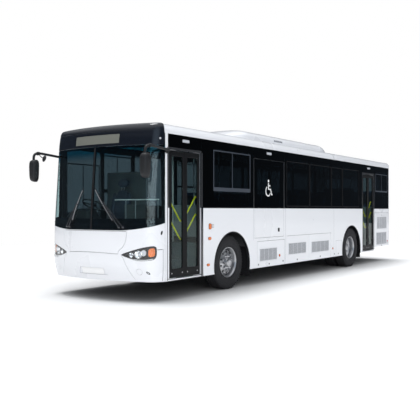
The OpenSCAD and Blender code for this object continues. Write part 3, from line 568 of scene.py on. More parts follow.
LAMP_LINE = smooth_line([(0.655, 0.797), (0.80, 0.852), (0.98, 0.905), (1.13, 0.937), (1.235, 0.947),
                         (1.285, 0.925), (1.298, 0.85), (1.285, 0.765), (1.235, 0.722), (1.12, 0.704),
                         (0.95, 0.703), (0.80, 0.742)], 6, closed=True)
BONNET_TOP = 1.186
BONNET_SIDE = smooth_line([(0.745, BONNET_TOP), (0.742, 1.09), (0.715, 0.985), (0.655, 0.905), (0.60, 0.862),
                           (0.588, 0.812)], 6)
BONNET = (mirrored(BONNET_SIDE) + [(s, BONNET_TOP) for s in span(-0.66, 0.66, 12)] + BONNET_SIDE
          + [(s, 0.812 + 0.014 * (1 - (s / 0.5) ** 2)) for s in span(0.5, -0.5, 10)])
BUMPER_SEAM = smooth_line([(0.652, 0.79), (0.70, 0.72), (0.745, 0.62), (0.80, 0.50), (0.865, 0.385)], 5)
CORNER_SEAM = [(1.302, 0.885), (1.44, 0.889)]
PLATE_RECESS = [(-0.335, 0.44), (0.335, 0.44), (0.285, 0.557), (-0.285, 0.557)]
COVER_S, COVER_Z = FRONT_R * math.asin(0.962 / FRONT_R), 0.516
FOG_S, FOG_Z = 1.125, 0.50


def grown(points, by):
    """A closed outline moved outwards by a distance."""
    area = sum(a[0] * b[1] - b[0] * a[1] for a, b in zip(points, points[1:] + points[:1]))
    sign = 1 if area > 0 else -1
    moved = []
    for i, p in enumerate(points):
        a, b = points[i - 1], points[(i + 1) % len(points)]
        dx, dy = b[0] - a[0], b[1] - a[1]
        size = math.hypot(dx, dy) or 1
        moved.append((p[0] + sign * dy / size * by, p[1] - sign * dx / size * by))
    return moved


def front_panel():
    """The white front below the windscreen, with its seams, lamp and plate openings."""
    edge = half_outline(SKIRT_Z, 1.325, 14)
    top = [(s, screen_foot(s) - 0.002) for s in span(1.44, -1.44, 48)]
    outer = [(s, SKIRT_Z) for s in span(-1.4, 1.4, 40)] + edge + top + mirrored(edge)
    holes = [grown(BONNET, 0.007), LAMP_LINE, mirrored(LAMP_LINE), PLATE_RECESS]
    for seam in (ribbon(BUMPER_SEAM, 0.007), ribbon(CORNER_SEAM, 0.009)):
        holes += [seam, mirrored(seam)]
    for k in (-1, 1):
        holes += [circle(k * COVER_S, COVER_Z, 0.053, 28), circle(k * FOG_S, FOG_Z, 0.020, 20, 1.9, k * -0.6)]
    emit("front_shell", Shape().sheet(outer, holes, nose_place, 0.03, 0.055), "body", WHITE, "front_panel")
    covers = Shape()
    for k in (-1, 1):
        covers.sheet(circle(k * COVER_S, COVER_Z, 0.049, 28), [], nose_place, 0.012)
    emit("front_tow_covers", covers, "body", WHITE)
    emit("bonnet_panel", Shape().sheet(BONNET, [], nose_place, 0.03, 0.05), "front_flap", WHITE, "front_flap")
    recess = Shape().sheet(grown(PLATE_RECESS, 0.006), [], lifted(nose_place, -0.022), 0.004, 0.06)
    emit("plate_recess", recess, "body", WHITE)
    plate = Shape().sheet(rect(-0.26, 0.26, 0.445, 0.552, 0.01), [], lifted(nose_place, -0.012), 0.003, 0.06)
    emit("front_plate", plate, "body", PLATE)
    fog = Shape()
    for k in (-1, 1):
        fog.sheet(circle(k * FOG_S, FOG_Z, 0.019, 20, 1.9, k * -0.6), [], lifted(nose_place, -0.01),
                  0.01, mat=0)
        fog.sheet(circle(k * FOG_S, FOG_Z, 0.010, 16, 1.9, k * -0.6), [], lifted(nose_place, -0.006),
                  0.008, mat=1)
        s = k * nose_end(1.165, at(2.2))
        fog.sheet(circle(s, 1.165, 0.036, 20, 0.5, k * -0.3), [], lifted(nose_place, 0.004), 0.008)
        # A strip of painted shadow along the seam at each front corner.
        seam = [(k * nose_end(z, at(2.165)), z) for z in span(0.36, 0.885, 10)]
        fog.sheet(ribbon(seam, 0.007), [], lifted(nose_place, 0.001), 0.002, None, 2)
    emit("corner_markers", fog, "body", [PLASTIC, CLEAR_LENS, SEAM_SHADE])


def headlamps():
    """Two lamps behind one clear cover each, with bowls and an amber outer end."""
    shell, cover = Shape(), Shape()
    for k in (1, -1):
        line = LAMP_LINE if k == 1 else mirrored(LAMP_LINE)
        rim = grown(line, -0.004)
        shell.sheet(rim, [], lifted(nose_place, -0.055), 0.003, 0.05)
        walls = [nose_place(u, v, -0.004) for u, v in rim] + [nose_place(u, v, -0.055) for u, v in rim]
        shell.add(walls, grid(2, len(rim)))
        for s, z, r in ((0.835, 0.795, 0.036), (0.965, 0.805, 0.062)):
            base = nose_place(k * s, z, -0.052)
            out = (nose_place(k * s, z, 0) - base).normalized()
            bowl = [(0.004, 0.004)] + [(r * t, 0.004 + 0.034 * t * t) for t in span(0.15, 1, 8)]
            shell.lathe(bowl + [(r + 0.004, 0.036), (r + 0.004, 0.0)], base, out, 36, 1)
            bulb = [(0, 0.034), (r * 0.16, 0.031), (r * 0.3, 0.022), (r * 0.34, 0.006)]
            shell.lathe(bulb, base, out, 24, 2)
        amber = [(u, v + (u - 1.1) * 0.12) for u, v in rect(1.15, 1.272, 0.755, 0.895, 0.045, 6)]
        shell.sheet(amber if k == 1 else mirrored(amber), [], lifted(nose_place, -0.022), 0.03, 0.04, 3)
        shell.sheet(circle(k * 1.06, 0.83, 0.05, 28), [], lifted(nose_place, -0.026), 0.02, 0.03, 2)
        lip = smooth_line([(0.82, 0.733), (0.95, 0.716), (1.12, 0.716), (1.235, 0.735)], 6)
        shell.sheet(ribbon(lip if k == 1 else mirrored(lip), 0.012), [],
                    lifted(nose_place, -0.012), 0.03, None, 1)
        cover.sheet(grown(line, -0.003), [], lifted(nose_place, -0.002), 0.003, 0.035)
    emit("headlamp_units", shell, "body", [PLASTIC, CHROME, CLEAR_LENS, AMBER], "headlamps")
    emit("headlamp_covers", cover, "body", LAMP_GLASS)


def windscreen():
    """The curved glass, its black printed border, centre strip and top band."""
    edge = half_outline(1.332, SCREEN_TOP - 0.003, 14)
    foot = [(s, screen_foot(s) + 0.003) for s in span(-1.44, 1.44, 48)]
    top = [(s, SCREEN_TOP - 0.003) for s in span(1.30, -1.30, 30)]
    outer = foot + edge + top + mirrored(edge)
    pane = Shape().sheet(outer, [], nose_place, 0.006, 0.08)
    emit("windscreen_pane", pane, "body", SCREEN_GLASS, "windscreen")
    clear_half = [(s, 1.392 + 0.012 * s) for s in span(0.034, 1.30, 24)]
    clear_half += [(nose_end(z) - 0.085, z) for z in span(1.42, 2.58, 10)]
    clear_half += [(s, 2.60) for s in span(1.24, 0.034, 20)]
    border = Shape().sheet(grown(outer, -0.002), [clear_half, mirrored(clear_half)],
                           lifted(nose_place, -0.0075), 0.002, 0.08)
    emit("windscreen_border", border, "body", FRIT)
    strip = Shape()
    strip.sheet([(-0.016, 1.22), (0.016, 1.22), (0.016, 2.62), (-0.016, 2.62)], [],
                lifted(nose_place, 0.006), 0.006, 0.1)
    half = [(1.36, 1.352), (1.0, 1.312), (0.5, 1.298)]
    groove = smooth_line([(-u, v) for u, v in half] + [(0, 1.295)] + half[::-1], 6)
    strip.sheet(ribbon(groove, 0.007), [], lifted(nose_place, 0.003), 0.004, None, 1)
    emit("windscreen_strip", strip, "body", [RUBBER, BLACK])


def front_cap():
    """The black cap over the windscreen with its groove, and the blank sign in it."""
    heights = [2.640, 2.644] + span(2.66, 2.884, 16) + [2.888, 2.891, 2.903, 2.906] + span(2.92, ROOF_Z, 12)
    sunk = {2.640: 0.004, 2.891: 0.006, 2.903: 0.006}
    columns = 64
    across = [2 * k / columns - 1 for k in range(columns + 1)]
    verts = [nose_place((nose_end(z) - 0.001) * t, z, -sunk.get(z, 0)) for z in heights for t in across]
    top = verts[-len(across):]
    verts += [p.lerp(Vector((MASK_X, p.y, ROOF_Z)), step) for step in (0.35, 0.7, 1.0) for p in top]
    faces = grid(len(heights) + 3, len(across), False)
    lower = len(verts)
    verts += [nose_place((nose_end(2.64) - 0.001) * t, 2.64, -0.035) for t in across]
    faces += [[k + 1, k, lower + k, lower + k + 1] for k in range(columns)]
    emit("front_cap_shell", Shape().add(verts, faces), "body", BLACK, "front_cap", smooth=30)
    sign = Shape()
    over = lifted(nose_place, 0.004)
    frame_hole = rect(-0.518, 0.518, 2.686, 2.842, 0.008)
    sign.sheet(rect(-0.53, 0.53, 2.676, 2.851, 0.012), [frame_hole], over, 0.008, 0.05, 0)
    screen = rect(-0.52, 0.52, 2.685, 2.843, 0.008)
    sign.sheet(screen, [], lifted(nose_place, 0.0025), 0.006, 0.04, 1)
    emit("destination_sign", sign, "body", [BLACK, SCREEN])
    spots = Shape()
    for s in (-1.27, 1.27):
        base = nose_place(s, 2.745, -0.002)
        away = (nose_place(s, 2.745, 0.01) - base).normalized()
        spots.lathe([(0.024, 0), (0.024, 0.007), (0.018, 0.010)], base, away, 24, 0)
        spots.lathe([(0.019, 0.004), (0.017, 0.011), (0.009, 0.014), (0, 0.015)], base, away, 24, 1)
    emit("cap_markers", spots, "body", [PLASTIC, CLEAR_LENS])


# ------------------------------------------------------------------ side glass and panels

LEFT_WINDOWS = ((0.650, -0.640), (-2.260, -3.400), (-3.455, -4.675), (-4.730, -5.385), (-5.440, -6.570),
                (-7.890, -8.930))
BEHIND_GLASS, PRINT = 0.0065, 0.0012  # where the printed border starts, and its thickness
RIGHT_PITCH = 1.5
RIGHT_WINDOWS = ((1.010, 0.130),) + tuple((0.07 - RIGHT_PITCH * i, -1.37 - RIGHT_PITCH * i) for i in range(6))
LEFT_PANES = ((1.050, -0.790), (-2.176, -3.427), (-3.433, -4.701), (-4.707, -5.407), (-5.413, -6.597),
              (-6.603, -6.819), (-7.782, -9.050))
RIGHT_PANES = ((1.040, 0.100), *((0.094 - RIGHT_PITCH * i, -1.4 - RIGHT_PITCH * i) for i in range(5)),
               (-7.406, -9.050))
HEADERS = ((2.030, 1.062), (-0.802, -2.158), (-6.831, -7.769))
LEFT_BANDS = ((1.050, -0.790), (-2.176, -6.819), (-7.782, -9.050))
PANE_Z = (BELT_Z + 0.004, CANTRAIL_Z - 0.004)
WINDOW_Z = (1.64, 2.70)
HEADER_Z = (DOOR_TOP + 0.014, PANE_Z[1])
DRIVER_PANE = (2.036, 1.050, 1.394)
DRIVER_WINDOW = (2.010, 1.080, 1.42)
WHEELCHAIR = (-0.850, -2.110, 0.968, 2.600)


def tail_place(u, v, out):
    """Puts (y, z) on the rear face, out being backwards."""
    return Vector((TAIL_X - out, u, v))


def side_glass():
    """Tinted panes flush with the walls, with the black print around the openings behind them."""
    panes, border = Shape(), Shape()
    for s, runs in ((1, LEFT_PANES), (-1, RIGHT_PANES)):
        for a, b in runs:
            panes.sheet(rect(a, b, *PANE_Z, 0.008), [], side_place(s), 0.006)
    for a, b in HEADERS:
        panes.sheet(rect(a, b, *HEADER_Z, 0.006), [], side_place(1), 0.006)
    panes.sheet(rect(*DRIVER_PANE[:2], DRIVER_PANE[2], PANE_Z[1], 0.01), [], side_place(-1), 0.006)
    panes.sheet(rect(-0.98, 0.98, 1.74, 2.64, 0.07, 6), [], lifted(tail_place, -0.001), 0.005)
    emit("side_and_rear_glass", panes, "body", SIDE_GLASS, "windows")
    behind = lambda s: lifted(side_place(s), -BEHIND_GLASS)
    openings = lambda runs: [rect(a, b, *WINDOW_Z, 0.04) for a, b in runs]
    for a, b in LEFT_BANDS:
        holes = [h for h in openings(LEFT_WINDOWS) if min(a, b) < h[0][0] < max(a, b)]
        border.sheet(rect(a, b, *PANE_Z), holes, behind(1), PRINT)
    border.sheet(rect(1.040, -9.050, *PANE_Z), openings(RIGHT_WINDOWS), behind(-1), PRINT)
    border.sheet(rect(*DRIVER_PANE[:2], DRIVER_PANE[2], PANE_Z[1]),
                 [rect(*DRIVER_WINDOW[:2], DRIVER_WINDOW[2], WINDOW_Z[1], 0.05)], behind(-1), PRINT)
    for a, b in HEADERS:
        border.sheet(rect(a, b, *HEADER_Z), [], behind(1), PRINT)
    border.sheet(rect(-0.98, 0.98, 1.74, 2.64, 0.07, 6), [rect(-0.91, 0.91, 1.81, 2.57, 0.09, 6)],
                 lifted(tail_place, -BEHIND_GLASS), PRINT)
    emit("glazing_border", border, "body", FRIT)


def window_frame(shape, s, x0, x1, z0, z1, width, foot, splits=(), proud=0.004, mat=0):
    """An opener's frame on the glass, its foot rail as high as foot, with uprights at splits."""
    place = lifted(side_place(s), proud)
    cuts = [x0] + list(splits) + [x1]
    holes = []
    for i in range(len(cuts) - 1):
        a = cuts[i] - (width if i == 0 else width / 2.6)
        b = cuts[i + 1] + (width if i == len(cuts) - 2 else width / 2.6)
        holes.append(rect(a, b, z0 + foot, z1 - width, 0.012))
    shape.sheet(rect(x0, x1, z0, z1, 0.02), holes, place, proud + 0.001, None, mat)


def window_frames():
    bold, faint = Shape(), Shape()
    window_frame(bold, 1, 0.675, -0.666, 1.900, 2.670, 0.024, 0.072, (0.016,))
    window_frame(bold, -1, 1.020, 0.120, 1.900, 2.670, 0.024, 0.072, (0.57,))
    for a, b in LEFT_WINDOWS[1:5]:
        window_frame(faint, 1, a + 0.012, b - 0.012, 1.628, 2.640, 0.010, 0.012)
    window_frame(bold, 1, -7.892, -8.922, 2.083, 2.621, 0.018, 0.04, (-8.41,))
    for i, (a, b) in enumerate(RIGHT_WINDOWS[1:]):
        if i % 2:
            window_frame(bold, -1, a + 0.01, b - 0.01, 2.083, 2.66, 0.018, 0.04, ((a + b) / 2,))
        window_frame(faint, -1, a + 0.012, b - 0.012, 1.628, 2.690, 0.010, 0.012)
    window_frame(bold, -1, 1.995, 1.095, 1.45, 2.45, 0.022, 0.05, (1.55,))
    emit("opener_frames", bold, "body", FRAME_GREY)
    emit("window_seals", faint, "body", RUBBER)


def arch_outline(x, r, n=40):
    """The round part of a wheel arch above the skirt."""
    z0 = 0.48
    start = math.asin((SKIRT_Z - z0) / r)
    return [(x + r * math.cos(a), z0 + r * math.sin(a)) for a in span(start, math.pi - start, n)]


def wall_trim():
    """Rubber arch lips, panel seams drawn as strips of painted shadow, door sills and the black strips beside
    and over the doors.
    """
    lips, seams, sills = Shape(), Shape(), Shape()
    for s in (1, -1):
        for x in (0.0, REAR_AXLE.x - FRONT_AXLE.x):
            ring = arch_outline(x, 0.648) + arch_outline(x, 0.630)[::-1]
            lips.sheet(ring, [], lifted(side_place(s), 0.004), 0.012)
        # The seams are narrow strips of painted shadow, for the shade in the gaps between panels.
        place = lifted(side_place(s), 0.0008)
        foot, belt = SKIRT_Z + 0.005, BELT_Z - 0.004
        lines = [[(x, low), (x, belt)] for x, low in ((-2.205, foot), (-4.86, foot), (-0.80, 0.93))]
        if s == 1:
            lines.append([(-4.993, 0.36), (-4.993, 0.75), (-5.373, 0.75), (-5.373, 0.36)])
        for line in lines:
            for a, b in zip(line, line[1:]):
                seams.sheet(ribbon([a, b], 0.0035), [], place, 0.0015)
    for a, b in DOORWAYS:
        wall_box(sills, 1, (b + 0.002, a - 0.002), (-0.055, -0.002), (SKIRT_Z, SKIRT_Z + 0.024), 0.005)
        if a > 0:
            wall_box(sills, 1, (b + 0.03, a - 0.03), (-0.2, -0.056), (SKIRT_Z + 0.006, SKIRT_Z + 0.012),
                     0.002, 1)
    emit("arch_lips", lips, "body", RUBBER)
    emit("panel_seams", seams, "body", SEAM_SHADE)
    emit("door_sills", sills, "body", [WHITE, ALU])
    strip = Shape()
    front = DOORWAYS[0][0]
    on_skin = (-0.001, 0.0012)
    wall_box(strip, 1, (0.998, 1.0555), on_skin, (SKIRT_Z + 0.002, BELT_Z + 0.003), 0.001)
    wall_box(strip, 1, (-7.792, -7.777), on_skin, (SKIRT_Z + 0.05, BELT_Z), 0.001)
    wall_box(strip, 1, (front + 0.004, front + 0.020), on_skin, (SKIRT_Z + 0.01, DOOR_TOP + 0.01), 0.001)
    for a, b in DOORWAYS:
        wall_box(strip, 1, (b + 0.004, a - 0.004), (-0.020, 0.006), (DOOR_TOP - 0.028, DOOR_TOP + 0.012),
                 0.006, 1)
        post = Vector((at(b) + 0.008, HALF + 0.001, SKIRT_Z + 0.03))
        strip.rod(post, (post.x, post.y, DOOR_TOP - 0.03), 0.0065, 12, 1)
        wall_box(strip, 1, (b - 0.034, b - 0.006), (-0.001, 0.003), (BELT_Z + 0.02, DOOR_TOP - 0.02),
                 0.002, 1)
    emit("door_jamb_strips", strip, "body", [BLACK, POST])


def wall_box(shape, s, xs, outs, zs, edge, mat=0):
    """A box on the left (1) or right (-1) wall, from x to x, so far out of its face, z to z."""
    low, high = [(at(x), s * (HALF + out), z) for x, out, z in zip(xs, outs, zs)]
    shape.box(low, high, edge, mat)


def latch(shape, s, x, z, r=0.019):
    """A round quarter-turn latch with a sunk ring."""
    base = side_place(s)(x, z, -0.001)
    profile = ((0, 0.0035), (0.45, 0.0035), (0.5, 0.0015), (0.8, 0.0015), (1, 0.003), (1.05, 0.0))
    shape.lathe([(r * share, d) for share, d in profile], base, (0, s, 0), 24, 0)


def grille(name, body, s, x0, x1, z0, z1):
    """A pressed frame with tilted slats over a sheet in painted shade, and a strip of painted shade under the
    frame's top.
    """
    shape = Shape()
    shape.sheet(rect(x0, x1, z0, z1, 0.012), [rect(x0 - 0.018, x1 + 0.018, z0 + 0.018, z1 - 0.018, 0.006)],
                lifted(side_place(s), 0.005), 0.006, None, 0)
    # A sheet in painted shade behind the slats.
    shape.sheet(rect(x0 - 0.01, x1 + 0.01, z0 + 0.01, z1 - 0.01), [],
                lifted(side_place(s), 0.001), 0.002, None, 1)
    count = int((z1 - z0 - 0.04) / 0.0165)
    for k in range(count):
        z = z0 + 0.026 + (z1 - z0 - 0.052) * k / (count - 1)
        middle = Vector((at((x0 + x1) / 2), s * (HALF + 0.0035), z))
        turn = Matrix.Translation(middle) @ Matrix.Rotation(s * -0.6, 4, "X")
        wide = abs(x0 - x1) / 2 - 0.016
        shape.box((-wide, -0.0045, -0.0012), (wide, 0.0045, 0.0012), 0.0006, 0, turn)
    for u in span(x0 - 0.018, x1 + 0.018, 4)[1:-1]:
        wall_box(shape, s, (u - 0.004, u + 0.004), (0.002, 0.007), (z0 + 0.02, z1 - 0.02), 0.001)
    # A strip of painted shade under the top of the frame.
    wall_box(shape, s, (x1 + 0.01, x0 - 0.01), (0.001, 0.0055), (z1 - 0.03, z1 - 0.018), 0.001, 1)
    emit(name, shape, body, [GRILLE, PAINTED_GRILLE_SHADE])


def flaps():
    """Grilles and latches on the service flaps; the flaps themselves are the CAD panels."""
    grille("left_grille_1", "left_flap_1", 1, -1.040, -1.805, 0.465, 0.743)
    grille("left_grille_2", "left_flap_2", 1, -2.331, -3.238, 0.530, 0.806)
    grille("left_grille_3", "left_flap_3", 1, -3.521, -4.547, 0.510, 0.793)
    grille("engine_grille_upper", "left_engine_flap", 1, -8.003, -8.867, 0.972, 1.351)
    grille("engine_grille_lower", "left_engine_flap", 1, -7.952, -8.849, 0.503, 0.884)
    grille("right_grille_1", "right_flap_1", -1, -1.30, -2.40, 0.50, 0.79)
    grille("right_grille_2", "right_flap_2", -1, -3.15, -4.35, 0.50, 0.79)
    for body, s, places in (("left_flap_1", 1, ((-1.45, 0.40), (-2.08, 0.42))),
                            ("left_flap_2", 1, ((-2.778, 0.407),)),
                            ("left_flap_3", 1, ((-4.026, 0.407),)),
                            ("left_engine_flap", 1, ((-8.42, 0.478), (-8.93, 0.53))),
                            ("right_flap_1", -1, ((-1.3, 0.41), (-2.4, 0.41))),
                            ("right_flap_2", -1, ((-3.2, 0.41), (-4.3, 0.41)))):
        shape = Shape()
        for x, z in places:
            latch(shape, s, x, z)
        emit(body + "_latches", shape, body, PLASTIC)
    shape = Shape()
    for x in (-4.897, -5.142):
        latch(shape, 1, x, 0.414, 0.016)
    latch(shape, 1, -1.0, 0.41, 0.016)
    emit("skirt_latches", shape, "body", PLASTIC)


def side_lens(shape, s, x, z, wide, high, mat, r=None, proud=0.014):
    """A side marker lamp: a low base with a domed lens."""
    r = min(wide, high) * 0.49 if r is None else r
    steps = ((0.0, 1.12, 0.003, 0), (0.003, 1.0, proud * 0.55, mat), (proud * 0.55, 0.8, proud * 0.35, mat))
    for start, scale, thick, m in steps:
        w, h = wide * scale / 2, high * scale / 2
        shape.sheet(rect(x - w, x + w, z - h, z + h, min(r * scale, w * 0.99, h * 0.99), 5), [],
                    lifted(side_place(s), start + thick), thick + 0.001, None, m)


def side_lamps():
    """Orange, amber and red markers on both sides and the pale door lamps."""
    shape = Shape()
    for s in (1, -1):
        side_lens(shape, s, 0.782, 1.243, 0.075, 0.098, 2, 0.02)
        side_lens(shape, s, 0.690, 1.250, 0.060, 0.060, 4, 0.008, 0.01)
        side_lens(shape, s, 0.793, 1.020, 0.090, 0.052, 1)
        side_lens(shape, s, 0.841, 0.536, 0.084, 0.046, 1)
        side_lens(shape, s, -4.783, 0.562, 0.052, 0.052, 1)
    side_lens(shape, -1, -1.0, 0.552, 0.052, 0.052, 1)
    for x in (1.539, -1.435, -7.325):
        side_lens(shape, 1, x, 2.745, 0.19, 0.05, 3, 0.02, 0.022)
    emit("side_markers", shape, "body", [PLASTIC, AMBER, AMBER, CLEAR_LENS, PALE])
    one = Shape()
    side_lens(one, 1, -1.915, 0.552, 0.052, 0.052, 1)
    emit("flap_marker", one, "left_flap_1", [PLASTIC, AMBER])
    one = Shape()
    side_lens(one, 1, -8.93, 0.590, 0.04, 0.04, 1, 0.006)
    emit("rear_side_marker", one, "left_engine_flap", [PLASTIC, RED])


def wheelchair_door():
    """White below and glazed above, with a recessed handle and a plain figure on the glass."""
    x0, x1, z0, z1 = WHEELCHAIR
    panel, border, pane, figure = Shape(), Shape(), Shape(), Shape()
    handle_hole = rect(-1.842, -1.924, 1.074, 1.156, 0.008)
    clear_part = rect(x0 - 0.09, x1 + 0.09, 1.64, z1 - 0.09, 0.03)
    panel.sheet(rect(x0, x1, z0, BELT_Z, 0.006), [handle_hole], side_place(1), 0.05)
    panel.sheet(rect(x0, x1, BELT_Z - 0.001, z1), [clear_part],
                lifted(side_place(1), -0.008), 0.042, None, 1)
    emit("wheelchair_door_panel", panel, "wheelchair_door", [WHITE, FRIT], "wheelchair_door")
    border.sheet(rect(x0 - 0.002, x1 + 0.002, BELT_Z + 0.004, z1 - 0.002), [clear_part],
                 lifted(side_place(1), -BEHIND_GLASS), PRINT)
    emit("wheelchair_door_border", border, "wheelchair_door", FRIT)
    pane.sheet(rect(x0 - 0.002, x1 + 0.002, BELT_Z + 0.004, z1 - 0.002, 0.008), [], side_place(1), 0.006)
    emit("wheelchair_door_glass", pane, "wheelchair_door", SIDE_GLASS)
    handle = Shape()
    handle.sheet(handle_hole, [rect(-1.854, -1.912, 1.090, 1.142, 0.006)], side_place(1), 0.02)
    wall_box(handle, 1, (-1.916, -1.850), (-0.018, -0.014), (1.080, 1.150), 0.002)
    wall_box(handle, 1, (-1.906, -1.860), (-0.016, -0.003), (1.113, 1.125), 0.004)
    emit("wheelchair_door_handle", handle, "wheelchair_door", PLASTIC)
    over = lifted(side_place(1), 0.0012)
    u0, v0, size = -1.43, 1.843, 0.356
    dot = lambda u, v: (u0 - u * size, v0 + v * size)
    figure.sheet([dot(*p) for p in circle(-0.02, 0.90, 0.085, 20)], [], over, 0.0014)
    body_line = [(-0.02, 0.78), (-0.02, 0.42), (0.24, 0.40), (0.36, 0.08), (0.46, 0.11)]
    figure.sheet([dot(*p) for p in ribbon(body_line, 0.10)], [], over, 0.0012)
    figure.sheet([dot(*p) for p in ribbon([(-0.02, 0.62), (0.20, 0.62)], 0.08)], [], over, 0.0010)
    turned = [math.radians(a) for a in span(118, 336, 22)]
    arc = [(-0.06 + 0.28 * math.cos(a), 0.29 + 0.28 * math.sin(a)) for a in turned]
    figure.sheet([dot(*p) for p in ribbon(arc, 0.075)], [], over, 0.0013)
    emit("wheelchair_figure", figure, "wheelchair_door", PLATE)


# ------------------------------------------------------------------ doors


def door_leaf(doorway, end):
    """One leaf: a black frame, its glass, a rubber closing edge and two slanting rails."""
    name = f"{doorway}_door_{end}_leaf"
    low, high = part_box(name)
    x0, x1, z0, z1 = low.x - FRONT_AXLE.x, high.x - FRONT_AXLE.x, low.z, high.z
    post_x, shut_x = (x1, x0) if end == "leading" else (x0, x1)
    way = 1 if end == "leading" else -1
    place = side_place(1, high.y)
    frame_shape = Shape()
    hole = rect(x0 + 0.058, x1 - 0.058, z0 + 0.15, z1 - 0.09, 0.03)
    frame_shape.sheet(rect(x0, x1, z0, z1, 0.012), [hole], place, 0.032)
    frame_shape.sheet(grown(hole, 0.012), [hole], lifted(place, 0.002), 0.003, None, 1)
    seal = Vector((at(shut_x), high.y, 0))
    frame_shape.box(seal + Vector((-0.0035, -0.028, z0 + 0.004)), seal + Vector((0.0035, -0.004, z1 - 0.004)),
                    0.002, 1)
    frame_shape.box((low.x + 0.03, high.y - 0.001, z0 + 0.012), (high.x - 0.03, high.y + 0.002, z0 + 0.022),
                    0.001, 1)
    cap = [(0, 0.004), (0.012, 0.004), (0.014, 0.0)]
    for x in (x0 + 0.07, x1 - 0.07):
        frame_shape.lathe(cap, place(x, z0 + 0.075, 0), (0, 1, 0), 16, 2)
    emit(name + "_frame", frame_shape, name, [LEAF, RUBBER, STEEL], name)
    pane = Shape().sheet(rect(x0 + 0.056, x1 - 0.056, z0 + 0.148, z1 - 0.088, 0.03), [],
                         lifted(place, -0.012), 0.006)
    emit(name + "_glass", pane, name, DOOR_GLASS)
    rails = Shape()
    y = low.y + 0.013
    for z in (1.040, 1.360):
        a = Vector((at(post_x) - way * 0.035, y, z + 0.42))
        b = Vector((at(shut_x) + way * 0.040, y, z))
        near, far = Vector((0, 0.012, 0)), Vector((0, 0.043, 0))
        path = [a + far, a + near, a.lerp(b, 0.02), a.lerp(b, 0.5), a.lerp(b, 0.98), b + near, b + far]
        rails.tube(smooth_line(path, 4), 0.0125, 14)
        for p in (a, b):
            foot = [(0, 0), (0.022, 0), (0.022, 0.006), (0.015, 0.01), (0, 0.01)]
            rails.lathe(foot, p + Vector((0, 0.047, 0)), (0, -1, 0), 20, 1)
    emit(name + "_rails", rails, name, [YELLOW, PLASTIC])


# ------------------------------------------------------------------ wheels


def tyre_shape(shape, centre, half_width, radius, seed):
    """A radial tyre: carcass, four grooves, shoulder blocks and fine sidewall rings."""
    bead = 0.2875
    side = [(bead, 0.101), (0.300, 0.108), (0.304, 0.117), (0.318, 0.126), (0.352, 0.136), (0.356, 0.1385),
            (0.362, 0.1365), (0.400, 0.140), (0.404, 0.1415), (0.410, 0.140), (0.440, 0.139), (0.468, 0.133),
            (0.488, 0.1265), (0.491, 0.1235), (0.505, 0.115)]
    side = [(r, d * half_width / 0.14) for r, d in side]
    tread = [(radius - 0.007, half_width * 0.77), (radius - 0.001, half_width * 0.73)]
    edge = half_width * 0.70
    for k, y in enumerate((0.45, 0.16)):
        y = half_width * y
        tread += [(radius, y + 0.006), (radius - 0.012, y + 0.004), (radius - 0.012, y - 0.004),
                  (radius, y - 0.006)]
    upper = side + tread
    profile = upper + [(r, -d) for r, d in upper[::-1]]
    shape.lathe(profile + [profile[0]], centre, (0, 1, 0), 96, 0)
    draw = random.Random(seed)
    count = 54
    for k in range(count):
        a = 2 * math.pi * (k + draw.uniform(-0.04, 0.04)) / count
        for s in (-1, 1):
            turn = Matrix.Translation(centre) @ Matrix.Rotation(a, 4, "Y")
            y0, y1 = s * edge, s * half_width * 0.885
            shape.box((-0.0115, min(y0, y1), radius - 0.03), (0.0115, max(y0, y1), radius - 0.0035), 0.003,
                      0, turn)


def wheel_disc(shape, centre, s, dish, hole_r, hub, nuts_at, mat=0):
    """The pressed disc with ten hand holes, its nuts and the hub. s is the outward side."""
    ring = 0.205
    place = lambda u, v, out: centre + Vector((v * math.cos(u / ring), s * (dish(v) + out),
                                               v * math.sin(u / ring)))
    holes = [circle(2 * math.pi * ring * (k + 0.5) / 10, ring, hole_r, 18) for k in range(10)]
    shape.sheet(rect(0, 2 * math.pi * ring, 0.055, 0.263), holes, place, 0.009, 0.0135, mat)
    shape.lathe([(0.055, -0.055), (0.262, -0.055), (0.262, -0.06), (0.055, -0.06)],
                centre + Vector((0, s * dish(0.1), 0)), (0, s, 0), 40, 2)
    for k in range(10):
        a = 2 * math.pi * k / 10
        base = centre + Vector((0.145 * math.cos(a), s * nuts_at, 0.145 * math.sin(a)))
        shape.lathe([(0.023, 0), (0.023, 0.004), (0.0185, 0.005)], base, (0, s, 0), 18, 1)
        shape.lathe([(0.0185, 0.003), (0.0185, 0.022), (0.014, 0.026), (0.010, 0.026), (0.009, 0.034),
                     (0, 0.034)], base,
                    (0, s, 0), 6, 1)
    shape.lathe(hub, centre, (0, s, 0), 40, mat)
    cap = hub[-1][1]
    for k in range(8):
        a = 2 * math.pi * k / 8
        p = centre + Vector((0.052 * math.cos(a), s * (cap - 0.004), 0.052 * math.sin(a)))
        shape.lathe([(0.007, 0), (0.007, 0.008), (0, 0.009)], p, (0, s, 0), 6, 1)


def barrel(shape, centre, mat=0):
    """The rim under one tyre, with rolled flanges."""
    half = [(0.262, 0.0), (0.262, 0.085), (0.270, 0.100), (0.284, 0.1155), (0.292, 0.1175), (0.2975, 0.1150),
            (0.2975, 0.111), (0.291, 0.108), (0.286, 0.103), (0.280, 0.06), (0.280, 0.0)]
    ring = half + [(r, -d) for r, d in half[::-1]]
    shape.lathe(ring + [ring[0]], centre, (0, 1, 0), 72, mat)


